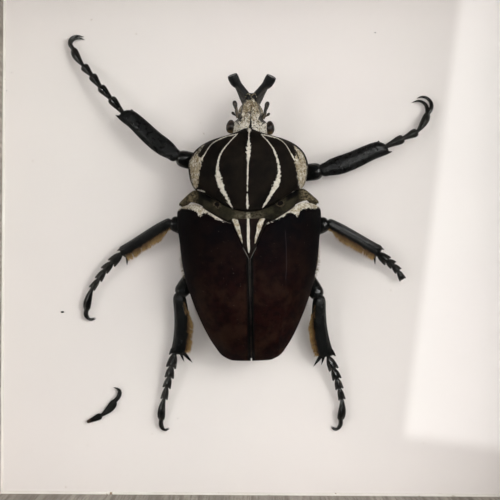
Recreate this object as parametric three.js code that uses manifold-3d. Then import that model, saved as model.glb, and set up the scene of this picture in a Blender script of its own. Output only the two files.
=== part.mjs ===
// A goliath beetle fixed on a white board inside a glazed shadow-box frame.
// The frame lies on its back: +Z is out through the glass, +Y is towards the beetle's head.
// The origin is the middle of the frame's back. Millimetres.

import * as THREE from "three";
import { mergeVertices } from "three/addons/utils/BufferGeometryUtils.js";
import Module from "manifold-3d";

const wasm = await Module();
wasm.setup();

// Frame: an 18 x 18 cm box, mitred at the corners
const OPENING = 180;
const RAIL_WALL = 12.7;
const LINER_THICKNESS = 3;
const FIT_GAP = 0.3;
const HALF_OUTER = OPENING / 2 + LINER_THICKNESS + FIT_GAP + RAIL_WALL;
const RAIL_DEPTH = 62;
const LIP_REACH = 5.3;
const LIP_THICKNESS = 5.1;
const EDGE_BEVEL = 1.5;
const MITRE_GAP = 0.1;

// Sheets of the case, from the back to the front
const BACK_RECESS = 4;
const BACK_PANEL_THICKNESS = 3;
const BOARD_THICKNESS = 5;
const GLASS_THICKNESS = 2;
const SHEET_SIZE = OPENING + 2 * LINER_THICKNESS;
const BOARD_TOP = BACK_RECESS + BACK_PANEL_THICKNESS + FIT_GAP + BOARD_THICKNESS;
const GLASS_BOTTOM = RAIL_DEPTH - LIP_THICKNESS - FIT_GAP - GLASS_THICKNESS;
const SLIP_SIZE = 0.8;

// Back fittings
const TAB_LENGTH = 13;
const TAB_WIDTH = 8;
const TAB_THICKNESS = 0.8;
const TAB_SPACING = 90;
const HANGER_LENGTH = 44;
const HANGER_TOOTHED_LENGTH = 26.4;
const HANGER_HEIGHT = 9;
const HANGER_THICKNESS = 1;
const HANGER_TEETH = 9;
const HANGER_Y = 74;

// Beetle: 95 mm from horn tip to wing tip, set a little to the left of and below the middle
const BEETLE_PLACE = [-4.4, -5.4, BOARD_TOP];
const BEETLE_TURN = 0.35;
const BODY_OFFSET = -0.13;
const BODY_TURN = 0.94;
const HEAD_PLACE = [0.1, 41];
const HEAD_TURN = -1.8;
const SHELL_THICKNESS = 1.2;
const SUTURE_GAP = 0.15;
const KNEE_GAP = 0.6;
const ANKLE_GAP = 0.6;

// Outlines along the body as [y, value] pairs: half-width, crest height and rim height of the wing cases
const WING_HALF_WIDTH = [
  [-37.2, 4.5], [-36.8, 6.6], [-36.2, 8.1], [-35, 10.1], [-33, 11.7], [-29, 14.3], [-20.7, 18.2],
  [-15.5, 20.1], [-9, 21.9], [-1, 23.2], [4, 23.7], [8, 24.3], [12.6, 24.3], [15, 23.4],
];
const WING_CREST = [[-37.2, 15.5], [-32, 21], [-25, 25], [-15, 27.8], [-3, 28.5], [5, 27.5], [14, 24.5]];
const WING_RIM = [[-37.2, 13.5], [-32, 12], [-18, 11.5], [-10, 13.5], [0, 13.5], [6, 12.4], [14, 12.8]];
const WING_END = -37.2;
const WING_FRONT_INNER = 9.2;
const WING_FRONT_RISE = 14.6;
const WING_FRONT_FALL = 9.6;
const DOME_FLATNESS = 2.4;
const DOME_SHARPNESS = 0.75;
const SHOULDER_HALF_WIDTH = 24.3;
const SHOULDER_Y = 14;
const SCUTELLUM_FRONT = 10;
const SCUTELLUM_TIP = -2.6;
const SCUTELLUM_HALF_WIDTH = 6;

// Velvet band between pronotum and wing cases
const BAND_REACH = 23.6;
const BAND_SHOULDER_START = 19;
const BAND_SHOULDER_FALL = 3.6;
const BAND_WING_GAP = 0.4;
const BAND_SWELL = 0.4;
const BAND_SINK = 0.2;
const BAND_THICKNESS = 2.8;

// How a ring's middle line bows forward or back between its edges
const RING_BOW = 1.6;

// Pronotum and underbody rings: y at the edge, y at the middle, half-width, mid height, rise, drop
const PRONOTUM_RINGS = [
  { edge: 38.7, middle: 40.4, half: 5.8, z: 15, up: 5.4, down: 3 },
  { edge: 37.7, middle: 38.8, half: 9.8, z: 15, up: 8, down: 4 },
  { edge: 35, middle: 36.2, half: 15.4, z: 15, up: 10.4, down: 4.4 },
  { edge: 31.6, middle: 32.2, half: 18.9, z: 15, up: 12.2, down: 4.5 },
  { edge: 27.8, middle: 28, half: 20, z: 15, up: 13, down: 4.5 },
  { edge: 24.2, middle: 22.8, half: 19.6, z: 15, up: 12.8, down: 4.5 },
  { edge: 21.6, middle: 17, half: 18.6, z: 15, up: 11.8, down: 4.4 },
  { edge: 20.2, middle: 12.6, half: 17.4, z: 15, up: 10.4, down: 3.6 },
];
const UNDERBODY_RINGS = [
  { edge: 36, middle: 36.5, half: 5, z: 5.5, up: 3.5, down: 4 },
  { edge: 30, middle: 30, half: 9.5, z: 5, up: 4.6, down: 4.6 },
  { edge: 18, middle: 18, half: 13, z: 5, up: 4.6, down: 4.6 },
  { edge: 12, middle: 12, half: 19, z: 6, up: 5, down: 5.6 },
  { edge: 6, middle: 6, half: 22, z: 6.4, up: 11, down: 6 },
  { edge: 0, middle: 0, half: 23.5, z: 6.4, up: 11.6, down: 6 },
  { edge: -6, middle: -6, half: 23.1, z: 6.4, up: 11.6, down: 6 },
  { edge: -12, middle: -12, half: 20.6, z: 6.4, up: 11.6, down: 6 },
  { edge: -20, middle: -20, half: 16.6, z: 6.8, up: 11.6, down: 6.2 },
  { edge: -28, middle: -28, half: 12.6, z: 7.2, up: 9.6, down: 6 },
  { edge: -34, middle: -34, half: 8.2, z: 8, up: 6, down: 5 },
  { edge: -36.2, middle: -36.4, half: 3.6, z: 9, up: 2.6, down: 2.4 },
];

// Head, in its own frame: y forward from the line between the eyes. The horn's arms and the bridge between
// them and the antennae are paths of one side, with sections as [fraction, half-width, half-thickness].
const HEAD_RINGS = [
  { edge: 8.6, middle: 9, half: 2.9, z: 14, up: 1.6, down: 1.4 },
  { edge: 6.5, middle: 6.8, half: 3.3, z: 13.8, up: 2.4, down: 2 },
  { edge: 3, middle: 3.2, half: 3.9, z: 13.8, up: 3.4, down: 2.8 },
  { edge: 1.5, middle: 1.8, half: 4.8, z: 13.8, up: 4, down: 3.2 },
  { edge: -1.5, middle: 0.1, half: 4.9, z: 13.8, up: 4.3, down: 3.4 },
];
const HORN_ARM = [[1.3, 7, 14], [2.4, 9.8, 14.6], [4, 12.9, 15.9], [6.4, 16.3, 17.8]];
const HORN_SECTIONS = [
  [0, 1.5, 1.2], [0.3, 1.35, 1.15], [0.6, 1.1, 1.05], [0.82, 1.05, 1.05], [0.93, 1.3, 1.2], [1, 1.2, 1],
];
const HORN_BRIDGE = [[-1.6, 9.9, 14.4], [0, 10.2, 14.5], [1.6, 9.9, 14.4]];
const BRIDGE_SECTIONS = [[0, 1, 0.9], [0.5, 1, 0.9], [1, 1, 0.9]];
const EYE_RADII = [1.25, 2.2, 1.9];
const EYE_PLACE = [6.5, -0.2, 13.4];
const ANTENNA_STALK = [[5.9, 4.3, 15], [5.2, 3.5, 15]];
const STALK_SECTIONS = [[0, 0.5, 0.5], [1, 0.45, 0.45]];
const ANTENNA_CLUB = [[4.85, 3.1, 15], [5.1, 5.4, 15.2], [5.3, 8.2, 15]];
const CLUB_SECTIONS = [[0, 0.5, 0.45], [0.3, 0.42, 0.4], [0.75, 0.58, 0.5], [1, 0.3, 0.3]];

// Legs, in the beetle's own frame: hip, knee and ankle, the joints of the tarsus, its last segment's end,
// and the bend and tip of the claws. The right middle leg has lost its last segment.
const LEGS = [
  {
    name: "front_left", hip: [-7, 27, 5.4], knee: [-24.4, 31.2, 10.4], ankle: [-43, 46.4, 8],
    toes: [[-47.3, 51.5, 7], [-51, 55.6, 6], [-54, 59.6, 5], [-57, 63, 4], [-60.7, 69, 2.6]],
    claw: [[-61.9, 71.4, 2.2], [-60.2, 73.5, 1.6], [-57.1, 73.4, 1]],
  },
  {
    name: "front_right", hip: [7, 25, 5.4], knee: [24, 26.6, 10.4], ankle: [46, 34.8, 8],
    toes: [[49.3, 36.2, 7.5], [52.2, 37.6, 6.8], [54.8, 38.7, 6], [57, 40.6, 5], [60.7, 46.6, 3]],
    claw: [[62.3, 50, 2.6], [60.6, 52.5, 1.8], [57.4, 52.7, 1]],
  },
  {
    name: "middle_left", hip: [-9, 2.5, 4.8], knee: [-26.6, 9.4, 8.8], ankle: [-43.2, -0.4, 5.4],
    toes: [[-47.2, -4.2, 5], [-49.6, -6.7, 4.5], [-51.9, -9.8, 4], [-54, -13, 3.4], [-56.2, -20.6, 2]],
    claw: [[-56.5, -22.3, 1.7], [-55.4, -23.7, 1.3], [-53.2, -23.3, 1]],
  },
  {
    name: "middle_right", hip: [9, 2.5, 4.8], knee: [26.4, 9.2, 8.8], ankle: [44.2, -0.7, 5.4],
    toes: [[46.2, -2.8, 5], [48.4, -4.7, 4.5], [50.6, -6.8, 4], [52.6, -9.4, 3.4]],
    claw: null,
  },
  {
    name: "hind_left", hip: [-14, -0.5, 4.4], knee: [-23.8, -15.2, 7.4], ankle: [-24.5, -35.4, 5],
    toes: [
      [-27.2, -39.8, 4.5], [-27.9, -43.2, 4], [-28.7, -46.8, 3.4], [-29.5, -50.6, 2.8], [-30.7, -58.3, 2],
    ],
    claw: [[-30.7, -60.2, 1.7], [-29.6, -61.8, 1.3], [-27.9, -61.2, 1]],
  },
  {
    name: "hind_right", hip: [14, -0.5, 4.4], knee: [23.4, -16, 7.4], ankle: [26.3, -36.2, 5],
    toes: [[28.9, -40.4, 4.5], [29.9, -43.7, 4], [30.7, -47, 3.4], [31.7, -51, 2.8], [31.3, -58.4, 2]],
    claw: [[31.1, -60.2, 1.7], [29.8, -61.6, 1.3], [28, -60.7, 1]],
  },
];
const LOOSE_TIP = {
  joints: [[-56.2, -59.3, 1.2], [-51.4, -56.9, 1.3], [-46.3, -51.9, 1.3]],
  claw: [[-44.9, -49.2, 1.2], [-45.2, -47.5, 1.1], [-47.1, -47.2, 1]],
};

// Each kind of leg: half-widths of femur and tibia, half-thickness, the shin's bow and the fringe's reach
const LEG_KINDS = {
  front: { femur: 2.6, tibia: 2.6, thick: 1.7, bow: 0.4, fringe: 0 },
  middle: { femur: 2.5, tibia: 1.6, thick: 1.5, bow: 0, fringe: 2.4 },
  hind: { femur: 2.4, tibia: 2, thick: 1.6, bow: 0.75, fringe: 1.8 },
};

// Spurs at the ankle, each from a root to a tip: a fraction of the shin and an offset to its rear side
const SPURS = {
  front: [[[0.9, 1.5], [1.07, 2.5]]],
  middle: [[[0.93, 1.1], [0.98, 4.3]]],
  hind: [[[0.95, 1.3], [1.13, 5]], [[0.97, 0.7], [1.13, 2.5]]],
};

// Tarsus: sections of a plain segment, of the last one, a claw and a spur, from root to tip
const SEGMENT_SECTIONS = [[0, 0.55, 0.5], [0.5, 0.7, 0.6], [0.85, 1, 0.8], [1, 0.6, 0.5]];
const LAST_SEGMENT_SECTIONS = [[0, 0.5, 0.45], [0.4, 0.85, 0.75], [0.8, 1, 0.85], [1, 0.75, 0.65]];
const CLAW_SECTIONS = [[0, 0.6, 0.5], [0.35, 0.55, 0.5], [0.7, 0.42, 0.4], [1, 0.12, 0.12]];
const SPUR_SECTIONS = [[0, 0.7, 0.6], [0.6, 0.45, 0.4], [1, 0.12, 0.12]];
const SEGMENT_OVERRUN = 0.5;
const CLAW_SPREAD = 0.25;
const CLAW_DROP = 0.3;

const COLOURS = {
  rail: { color: 0xafa79d, roughness: 0.7, metalness: 0 },
  slip: { color: 0xf5ece3, roughness: 0.6, metalness: 0 },
  board: { color: 0xe6ddd7, roughness: 0.85, metalness: 0 },
  panel: { color: 0x8a6f55, roughness: 0.8, metalness: 0 },
  steel: { color: 0xa8a8a6, roughness: 0.4, metalness: 1 },
  shell: { color: 0x2a1512, roughness: 0.55, metalness: 0 },
  velvet: { color: 0x1e1612, roughness: 0.75, metalness: 0 },
  tomentum: { color: 0x4b463a, roughness: 0.85, metalness: 0 },
  chalk: { color: 0xcfc9b8, roughness: 0.85, metalness: 0 },
  eye: { color: 0x4a3222, roughness: 0.3, metalness: 0 },
  limb: { color: 0x131414, roughness: 0.35, metalness: 0 },
  belly: { color: 0x3a2a20, roughness: 0.6, metalness: 0 },
  hair: { color: 0xbe8c46, roughness: 0.8, metalness: 0 },
};

function finish(key) {
  return new THREE.MeshStandardMaterial(COLOURS[key]);
}

function glassFinish() {
  const settings = { color: 0xf4f8f6, roughness: 0.05, metalness: 0, transparent: true, opacity: 0.15 };
  return new THREE.MeshStandardMaterial(settings);
}

function piece(name, geometry, material) {
  const mesh = new THREE.Mesh(geometry, material);
  mesh.name = name;
  return mesh;
}

// Keep only the positions of a geometry, with shared corners merged
function welded(geometry) {
  const bare = geometry.clone();
  bare.deleteAttribute("normal");
  bare.deleteAttribute("uv");
  const whole = mergeVertices(bare, 1e-4);
  whole.computeVertexNormals();
  return whole;
}

function toSolid(geometry) {
  const bare = welded(geometry);
  const vertProperties = new Float32Array(bare.attributes.position.array);
  const triVerts = new Uint32Array(bare.index.array);
  return new wasm.Manifold(new wasm.Mesh({ numProp: 3, vertProperties, triVerts }));
}

function toGeometry(solid) {
  const mesh = solid.getMesh();
  const geometry = new THREE.BufferGeometry();
  geometry.setAttribute("position", new THREE.BufferAttribute(new Float32Array(mesh.vertProperties), 3));
  geometry.setIndex(new THREE.BufferAttribute(new Uint32Array(mesh.triVerts), 1));
  geometry.computeVertexNormals();
  return geometry;
}

// Several overlapping closed geometries grown together as one
function grownTogether(geometries) {
  const solids = geometries.map(toSolid);
  return toGeometry(solids.reduce((whole, next) => whole.add(next)));
}

// Value at y on an outline of [y, value] pairs in rising order of y
function along(outline, y) {
  const last = outline.length - 1;
  if (y <= outline[0][0]) return outline[0][1];
  if (y >= outline[last][0]) return outline[last][1];
  const next = outline.findIndex((pair) => pair[0] >= y);
  const [y0, a] = outline[next - 1];
  const [y1, b] = outline[next];
  return THREE.MathUtils.mapLinear(y, y0, y1, a, b);
}

// A closed body lofted along Y from front to back: every ring is a half-ellipse above and one below,
// and its middle may lie further forward or back than its edges
function ringLoft(rings, sides) {
  const geometry = new THREE.CylinderGeometry(1, 1, 1, sides, rings.length - 1);
  const place = geometry.attributes.position;
  for (let i = 0; i < place.count; i += 1) {
    const ring = rings[Math.round((0.5 - place.getY(i)) * (rings.length - 1))];
    const across = place.getX(i);
    const rise = place.getZ(i);
    const bow = (1 - across * across) ** RING_BOW;
    const y = THREE.MathUtils.lerp(ring.edge, ring.middle, bow);
    place.setXYZ(i, across * ring.half, y, ring.z + rise * (rise > 0 ? ring.up : ring.down));
  }
  return welded(geometry);
}

// A closed limb along a smooth curve through the points: half-widths and half-thicknesses are given
// as [fraction, half-width, half-thickness] from its root to its tip
function limb(points, sections, sides) {
  const curve = new THREE.CatmullRomCurve3(points.map((point) => new THREE.Vector3(...point)));
  const geometry = new THREE.CylinderGeometry(1, 1, 1, sides, sections.length - 1);
  const place = geometry.attributes.position;
  const up = new THREE.Vector3(0, 0, 1);
  for (let i = 0; i < place.count; i += 1) {
    const step = Math.round((0.5 - place.getY(i)) * (sections.length - 1));
    const [fraction, width, thickness] = sections[step];
    const tangent = curve.getTangentAt(fraction);
    const side = up.clone().cross(tangent).normalize();
    const normal = tangent.clone().cross(side);
    const spot = curve.getPointAt(fraction);
    spot.addScaledVector(side, place.getX(i) * width);
    spot.addScaledVector(normal, place.getZ(i) * thickness);
    place.setXYZ(i, spot.x, spot.y, spot.z);
  }
  return welded(geometry);
}

// A thin curved plate: u runs across it, v along it, and the shape gives the outer and inner point
function plate(across, lengthwise, shape) {
  const geometry = new THREE.BoxGeometry(1, 1, 1, across, lengthwise, 1);
  const place = geometry.attributes.position;
  for (let i = 0; i < place.count; i += 1) {
    const u = place.getX(i) + 0.5;
    const v = 0.5 - place.getY(i);
    place.setXYZ(i, ...shape(u, v, place.getZ(i) > 0));
  }
  return welded(geometry);
}

// One side of the square frame: a section of [inset from the outer face, height] points, mitred at both ends
function mitredStrip(section) {
  const shape = new THREE.Shape(section.map(([inset, height]) => new THREE.Vector2(inset, height)));
  const geometry = new THREE.ExtrudeGeometry(shape, { depth: 1, bevelEnabled: false, steps: 1 });
  const place = geometry.attributes.position;
  for (let i = 0; i < place.count; i += 1) {
    const reach = HALF_OUTER - place.getX(i);
    const end = place.getZ(i) > 0.5 ? 1 : -1;
    place.setXYZ(i, end * (reach - MITRE_GAP), -reach, place.getY(i));
  }
  return welded(geometry);
}

// Four mitred strips, one to each side
const SIDES = ["bottom", "right", "top", "left"];
function fourSides(prefix, section, key) {
  const group = new THREE.Group();
  SIDES.forEach((side, quarter) => {
    const strip = piece(`${prefix}_${side}`, mitredStrip(section), finish(key));
    strip.rotation.z = quarter * Math.PI / 2;
    group.add(strip);
  });
  return group;
}

function frameRails() {
  const lip = RAIL_WALL + LIP_REACH;
  const underLip = RAIL_DEPTH - LIP_THICKNESS;
  const section = [
    [0, 0], [RAIL_WALL, 0], [RAIL_WALL, underLip], [lip, underLip],
    [lip, RAIL_DEPTH - EDGE_BEVEL], [lip - EDGE_BEVEL, RAIL_DEPTH], [EDGE_BEVEL, RAIL_DEPTH],
    [0, RAIL_DEPTH - EDGE_BEVEL],
  ];
  return fourSides("frame", section, "rail");
}

function liners() {
  const outer = RAIL_WALL + FIT_GAP;
  const inner = outer + LINER_THICKNESS;
  const foot = BOARD_TOP + FIT_GAP;
  const head = GLASS_BOTTOM - FIT_GAP;
  return fourSides("liner", [[outer, foot], [inner, foot], [inner, head], [outer, head]], "rail");
}

function slips() {
  const outer = RAIL_WALL + FIT_GAP + LINER_THICKNESS + FIT_GAP / 3;
  const inner = outer + SLIP_SIZE;
  const foot = BOARD_TOP + FIT_GAP / 3;
  const head = foot + SLIP_SIZE;
  const chamfer = SLIP_SIZE / 2;
  const section = [
    [outer, foot], [inner, foot], [inner, head - chamfer], [inner - chamfer, head], [outer, head],
  ];
  return fourSides("slip", section, "slip");
}

// Flat sheet across the box, with its lower face at z
function sheet(name, thickness, z, material) {
  const mesh = piece(name, welded(new THREE.BoxGeometry(SHEET_SIZE, SHEET_SIZE, thickness)), material);
  mesh.position.z = z + thickness / 2;
  return mesh;
}

// Round-ended steel tab that lies on the back panel and springs against a rail
function springTab(name, quarter, shift) {
  const half = TAB_WIDTH / 2;
  const outline = new THREE.Shape();
  outline.moveTo(-half, 0);
  outline.lineTo(half, 0);
  outline.lineTo(half, TAB_LENGTH - half);
  outline.absarc(0, TAB_LENGTH - half, half, 0, Math.PI);
  const settings = { depth: TAB_THICKNESS, bevelEnabled: false, curveSegments: 4 };
  const geometry = new THREE.ExtrudeGeometry(outline, settings);
  const mesh = piece(name, welded(geometry), finish("steel"));
  const railFace = HALF_OUTER - RAIL_WALL - FIT_GAP;
  mesh.position.set(shift, -railFace, BACK_RECESS - FIT_GAP / 3 - TAB_THICKNESS);
  const turned = new THREE.Group();
  turned.rotation.z = quarter * Math.PI / 2;
  turned.add(mesh);
  return turned;
}

// Sawtooth hanger on the back panel: a strip with teeth along its lower edge
function hanger() {
  const half = HANGER_LENGTH / 2;
  const tooth = HANGER_TOOTHED_LENGTH / HANGER_TEETH;
  const start = -tooth * HANGER_TEETH / 2;
  const outline = new THREE.Shape();
  outline.moveTo(half, HANGER_HEIGHT);
  outline.lineTo(-half, HANGER_HEIGHT);
  outline.lineTo(-half, 0);
  outline.lineTo(start, 0);
  for (let i = 0; i < HANGER_TEETH; i += 1) {
    outline.lineTo(start + (i + 0.5) * tooth, tooth / 2);
    outline.lineTo(start + (i + 1) * tooth, 0);
  }
  outline.lineTo(half, 0);
  const geometry = new THREE.ExtrudeGeometry(outline, { depth: HANGER_THICKNESS, bevelEnabled: false });
  const mesh = piece("hanger", welded(geometry), finish("steel"));
  mesh.position.set(0, HANGER_Y, BACK_RECESS - FIT_GAP / 3 - HANGER_THICKNESS);
  return mesh;
}

function frameCase() {
  const group = new THREE.Group();
  group.add(frameRails(), liners(), slips());
  group.add(sheet("back_panel", BACK_PANEL_THICKNESS, BACK_RECESS, finish("panel")));
  group.add(sheet("backing_board", BOARD_THICKNESS, BOARD_TOP - BOARD_THICKNESS, finish("board")));
  group.add(sheet("glass", GLASS_THICKNESS, GLASS_BOTTOM, glassFinish()));
  SIDES.forEach((side, quarter) => {
    group.add(springTab(`tab_${side}_1`, quarter, -TAB_SPACING / 2));
    group.add(springTab(`tab_${side}_2`, quarter, TAB_SPACING / 2));
  });
  group.add(hanger());
  return group;
}

// Height of the domed back at a half-width fraction u and a place y: flat-topped, steep at the rim
function domeHeight(u, y) {
  const rim = along(WING_RIM, y);
  return rim + (along(WING_CREST, y) - rim) * Math.max(0, 1 - u ** DOME_FLATNESS) ** DOME_SHARPNESS;
}

// Front edge of a wing case, from the scutellum out to the shoulder
function wingFront(u) {
  return WING_FRONT_INNER + WING_FRONT_RISE * u - WING_FRONT_FALL * u * u;
}

function scutellumHalfWidth(y) {
  const fraction = (y - SCUTELLUM_TIP) / (SCUTELLUM_FRONT - SCUTELLUM_TIP);
  return SCUTELLUM_HALF_WIDTH * THREE.MathUtils.clamp(fraction, 0, 1);
}

// A wing case: a thin domed shell from the suture and the scutellum's side out to its rim
function wingCase(name, side) {
  const shape = (u, v, outer) => {
    const fromSuture = side > 0 ? u : 1 - u;
    const backward = 1 - (1 - v) ** 1.5;
    const y = THREE.MathUtils.lerp(wingFront(fromSuture), WING_END, backward);
    const inner = scutellumHalfWidth(y) + (y > SCUTELLUM_TIP ? FIT_GAP : SUTURE_GAP);
    const edge = along(WING_HALF_WIDTH, y) - (outer ? 0 : SHELL_THICKNESS * 0.75);
    const x = THREE.MathUtils.lerp(inner, edge, fromSuture);
    const z = domeHeight(fromSuture, y) - (outer ? 0 : SHELL_THICKNESS);
    return [side * x, y, z];
  };
  return piece(name, plate(9, 12, shape), finish("shell"));
}

// The small triangular shield between the wing cases
function scutellum() {
  const shape = (u, v, outer) => {
    const y = THREE.MathUtils.lerp(SCUTELLUM_FRONT, SCUTELLUM_TIP, v);
    const half = Math.max(scutellumHalfWidth(y), 0.1);
    const z = domeHeight(half / along(WING_HALF_WIDTH, y), y) - (outer ? 0 : SHELL_THICKNESS);
    return [(2 * u - 1) * half, y, z];
  };
  return piece("scutellum", plate(4, 6, shape), finish("velvet"));
}

// The velvet band behind the pronotum, swelling into a lobe at each shoulder
function mesothorax() {
  const rear = PRONOTUM_RINGS[PRONOTUM_RINGS.length - 1];
  const shape = (u, v, outer) => {
    const x = (2 * u - 1) * BAND_REACH;
    const fromMiddle = Math.abs(x);
    const edge = Math.min(1, fromMiddle / rear.half);
    const bow = (1 - edge * edge) ** RING_BOW;
    const behindPronotum = THREE.MathUtils.lerp(rear.edge, rear.middle, bow) - FIT_GAP;
    const shoulder = Math.max(0, (fromMiddle - BAND_SHOULDER_START) / (BAND_REACH - BAND_SHOULDER_START));
    const front = behindPronotum - BAND_SHOULDER_FALL * shoulder ** 1.5;
    const wing = fromMiddle / SHOULDER_HALF_WIDTH;
    const fromScutellum = (fromMiddle - SCUTELLUM_HALF_WIDTH) / (SHOULDER_HALF_WIDTH - SCUTELLUM_HALF_WIDTH);
    const beforeWing = fromScutellum > 0 ? wingFront(fromScutellum) : 0;
    const back = Math.max(beforeWing, SCUTELLUM_FRONT) + BAND_WING_GAP;
    const y = THREE.MathUtils.lerp(front, back, v);
    const swell = Math.sin(v * Math.PI) * BAND_SWELL;
    const surface = domeHeight(wing, Math.min(y, SHOULDER_Y)) + swell - BAND_SINK;
    return [x, y, surface - (outer ? 0 : BAND_THICKNESS)];
  };
  return piece("mesothorax", plate(18, 3, shape), finish("tomentum"));
}

function pronotum() {
  return piece("pronotum", ringLoft(PRONOTUM_RINGS, 24), finish("velvet"));
}

// The path of one side, mirrored to the side asked for
function sided(path, side) {
  return path.map(([x, y, z]) => [side * x, y, z]);
}

// Head with the forked horn
function head() {
  const arms = [-1, 1].map((side) => limb(sided(HORN_ARM, side), HORN_SECTIONS, 8));
  const bridge = limb(HORN_BRIDGE, BRIDGE_SECTIONS, 8);
  return piece("head", grownTogether([ringLoft(HEAD_RINGS, 16), ...arms, bridge]), finish("chalk"));
}

function eye(name, side) {
  const geometry = welded(new THREE.SphereGeometry(1, 10, 7));
  const [x, y, z] = EYE_PLACE;
  geometry.scale(...EYE_RADII);
  geometry.translate(side * x, y, z);
  return piece(name, geometry, finish("eye"));
}

// Antenna: a short stalk and the folded club that stands forward from it
function antenna(name, side) {
  const stalk = limb(sided(ANTENNA_STALK, side), STALK_SECTIONS, 6);
  const club = limb(sided(ANTENNA_CLUB, side), CLUB_SECTIONS, 6);
  return piece(name, grownTogether([stalk, club]), finish("limb"));
}

// Femur from hip to knee; the clearance makes a fatter one for the socket it lies in
function femurShape(leg, clearance) {
  const kind = LEG_KINDS[leg.name.split("_")[0]];
  const sections = [
    [0, 1.5, 1.3], [0.15, kind.femur, kind.thick + 0.3], [0.6, kind.femur, kind.thick + 0.3],
    [0.9, kind.femur * 0.92, kind.thick], [0.97, kind.femur * 0.78, kind.thick * 0.9], [1, 1.2, 0.9],
  ].map(([fraction, width, thickness]) => [fraction, width + clearance, thickness + clearance]);
  const from = new THREE.Vector3(...leg.hip);
  const to = new THREE.Vector3(...leg.knee);
  const outward = to.clone().sub(from).normalize();
  from.addScaledVector(outward, -clearance);
  to.addScaledVector(outward, clearance - KNEE_GAP);
  return limb([from.toArray(), to.toArray()], sections, 8);
}

// The shin's middle line from knee to ankle, bowed a little to the rear side
function shinPath(leg) {
  const kind = LEG_KINDS[leg.name.split("_")[0]];
  const knee = new THREE.Vector3(...leg.knee);
  const ankle = new THREE.Vector3(...leg.ankle);
  const middle = knee.clone().lerp(ankle, 0.5).addScaledVector(rearSide(leg), kind.bow);
  return [knee.toArray(), middle.toArray(), ankle.toArray()];
}

// A point off the shin: a fraction of the way from knee to ankle, and an offset to its rear side
function offShin(leg, fraction, offset) {
  const knee = new THREE.Vector3(...leg.knee);
  const ankle = new THREE.Vector3(...leg.ankle);
  return knee.lerp(ankle, fraction).addScaledVector(rearSide(leg), offset).toArray();
}

// Horizontal direction across the shin, towards the rear on front and middle legs, inward on hind legs
function rearSide(leg) {
  const shin = new THREE.Vector3(...leg.ankle).sub(new THREE.Vector3(...leg.knee));
  const across = new THREE.Vector3(-shin.y, shin.x, 0).normalize();
  return leg.name.endsWith("left") ? across : across.negate();
}

// Tibia with its spurs at the ankle
function tibiaShape(leg) {
  const family = leg.name.split("_")[0];
  const broad = LEG_KINDS[family].tibia;
  const thick = LEG_KINDS[family].thick;
  const waist = family === "front" ? 0.72 : 0.8;
  const sections = [
    [KNEE_GAP / 20, broad * 0.5, thick * 0.6], [0.05, broad * waist, thick * 0.85],
    [0.13, broad * waist, thick * 0.9], [0.22, broad * 0.95, thick], [0.6, broad, thick],
    [0.88, broad * 0.95, thick], [0.97, broad, thick * 0.9], [1, broad * 0.7, thick * 0.6],
  ];
  const parts = [limb(shinPath(leg), sections, 9)];
  for (const [root, tip] of SPURS[family]) {
    const path = [offShin(leg, ...root), offShin(leg, ...tip)];
    parts.push(limb(path, SPUR_SECTIONS, 6));
  }
  return grownTogether(parts);
}

// Tarsus: flared segments from joint to joint, a stouter last segment, and a pair of hooked claws
function tarsusShape(joints, claw) {
  const parts = [];
  const lastJoint = joints.length - 2;
  for (let i = 0; i <= lastJoint; i += 1) {
    const stout = claw && i === lastJoint;
    const sections = stout ? LAST_SEGMENT_SECTIONS : SEGMENT_SECTIONS;
    const start = new THREE.Vector3(...joints[i]);
    const end = new THREE.Vector3(...joints[i + 1]);
    const overrun = end.clone().sub(start).setLength(i > 0 ? SEGMENT_OVERRUN : 0);
    parts.push(limb([start.sub(overrun).toArray(), end.toArray()], sections, 6));
  }
  if (claw) {
    const root = joints[joints.length - 1];
    const lower = claw.map(([x, y, z], i) => [x + CLAW_SPREAD * i, y - CLAW_SPREAD * i, z - CLAW_DROP]);
    parts.push(limb([root, ...claw], CLAW_SECTIONS, 5));
    parts.push(limb([root, ...lower], CLAW_SECTIONS, 5));
  }
  return grownTogether(parts);
}

// Golden hair along the rear side of a middle or hind tibia, as one thin blade out to the hairs' tips
function fringeShape(leg) {
  const kind = LEG_KINDS[leg.name.split("_")[0]];
  const half = kind.fringe / 2;
  const middle = kind.tibia + FIT_GAP / 2 + half;
  const bowed = [kind.bow * 0.6, kind.bow, kind.bow * 0.6];
  const path = [0.2, 0.55, 0.9].map((fraction, i) => offShin(leg, fraction, middle + bowed[i]));
  return limb(path, [[0, half * 0.7, 0.4], [0.2, half, 0.6], [0.8, half, 0.6], [1, half * 0.8, 0.4]], 6);
}

function legs() {
  const group = new THREE.Group();
  for (const leg of LEGS) {
    const kind = LEG_KINDS[leg.name.split("_")[0]];
    const ankle = new THREE.Vector3(...leg.ankle);
    const firstToe = new THREE.Vector3(...leg.toes[0]);
    ankle.add(firstToe.sub(ankle).setLength(ANKLE_GAP));
    group.add(piece(`femur_${leg.name}`, femurShape(leg, 0), finish("limb")));
    group.add(piece(`tibia_${leg.name}`, tibiaShape(leg), finish("limb")));
    const tarsus = tarsusShape([ankle.toArray(), ...leg.toes], leg.claw);
    group.add(piece(`tarsus_${leg.name}`, tarsus, finish("limb")));
    if (kind.fringe > 0) group.add(piece(`fringe_${leg.name}`, fringeShape(leg), finish("hair")));
  }
  return group;
}

// Breast and abdomen in one, with a socket for each femur
function underbody() {
  const shape = ringLoft(UNDERBODY_RINGS, 16);
  shape.rotateZ(THREE.MathUtils.degToRad(BODY_TURN));
  shape.translate(BODY_OFFSET, 0, 0);
  const sockets = LEGS.map((leg) => toSolid(femurShape(leg, FIT_GAP)));
  const carved = sockets.reduce((body, socket) => body.subtract(socket), toSolid(shape));
  return piece("underbody", toGeometry(carved), finish("belly"));
}

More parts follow.
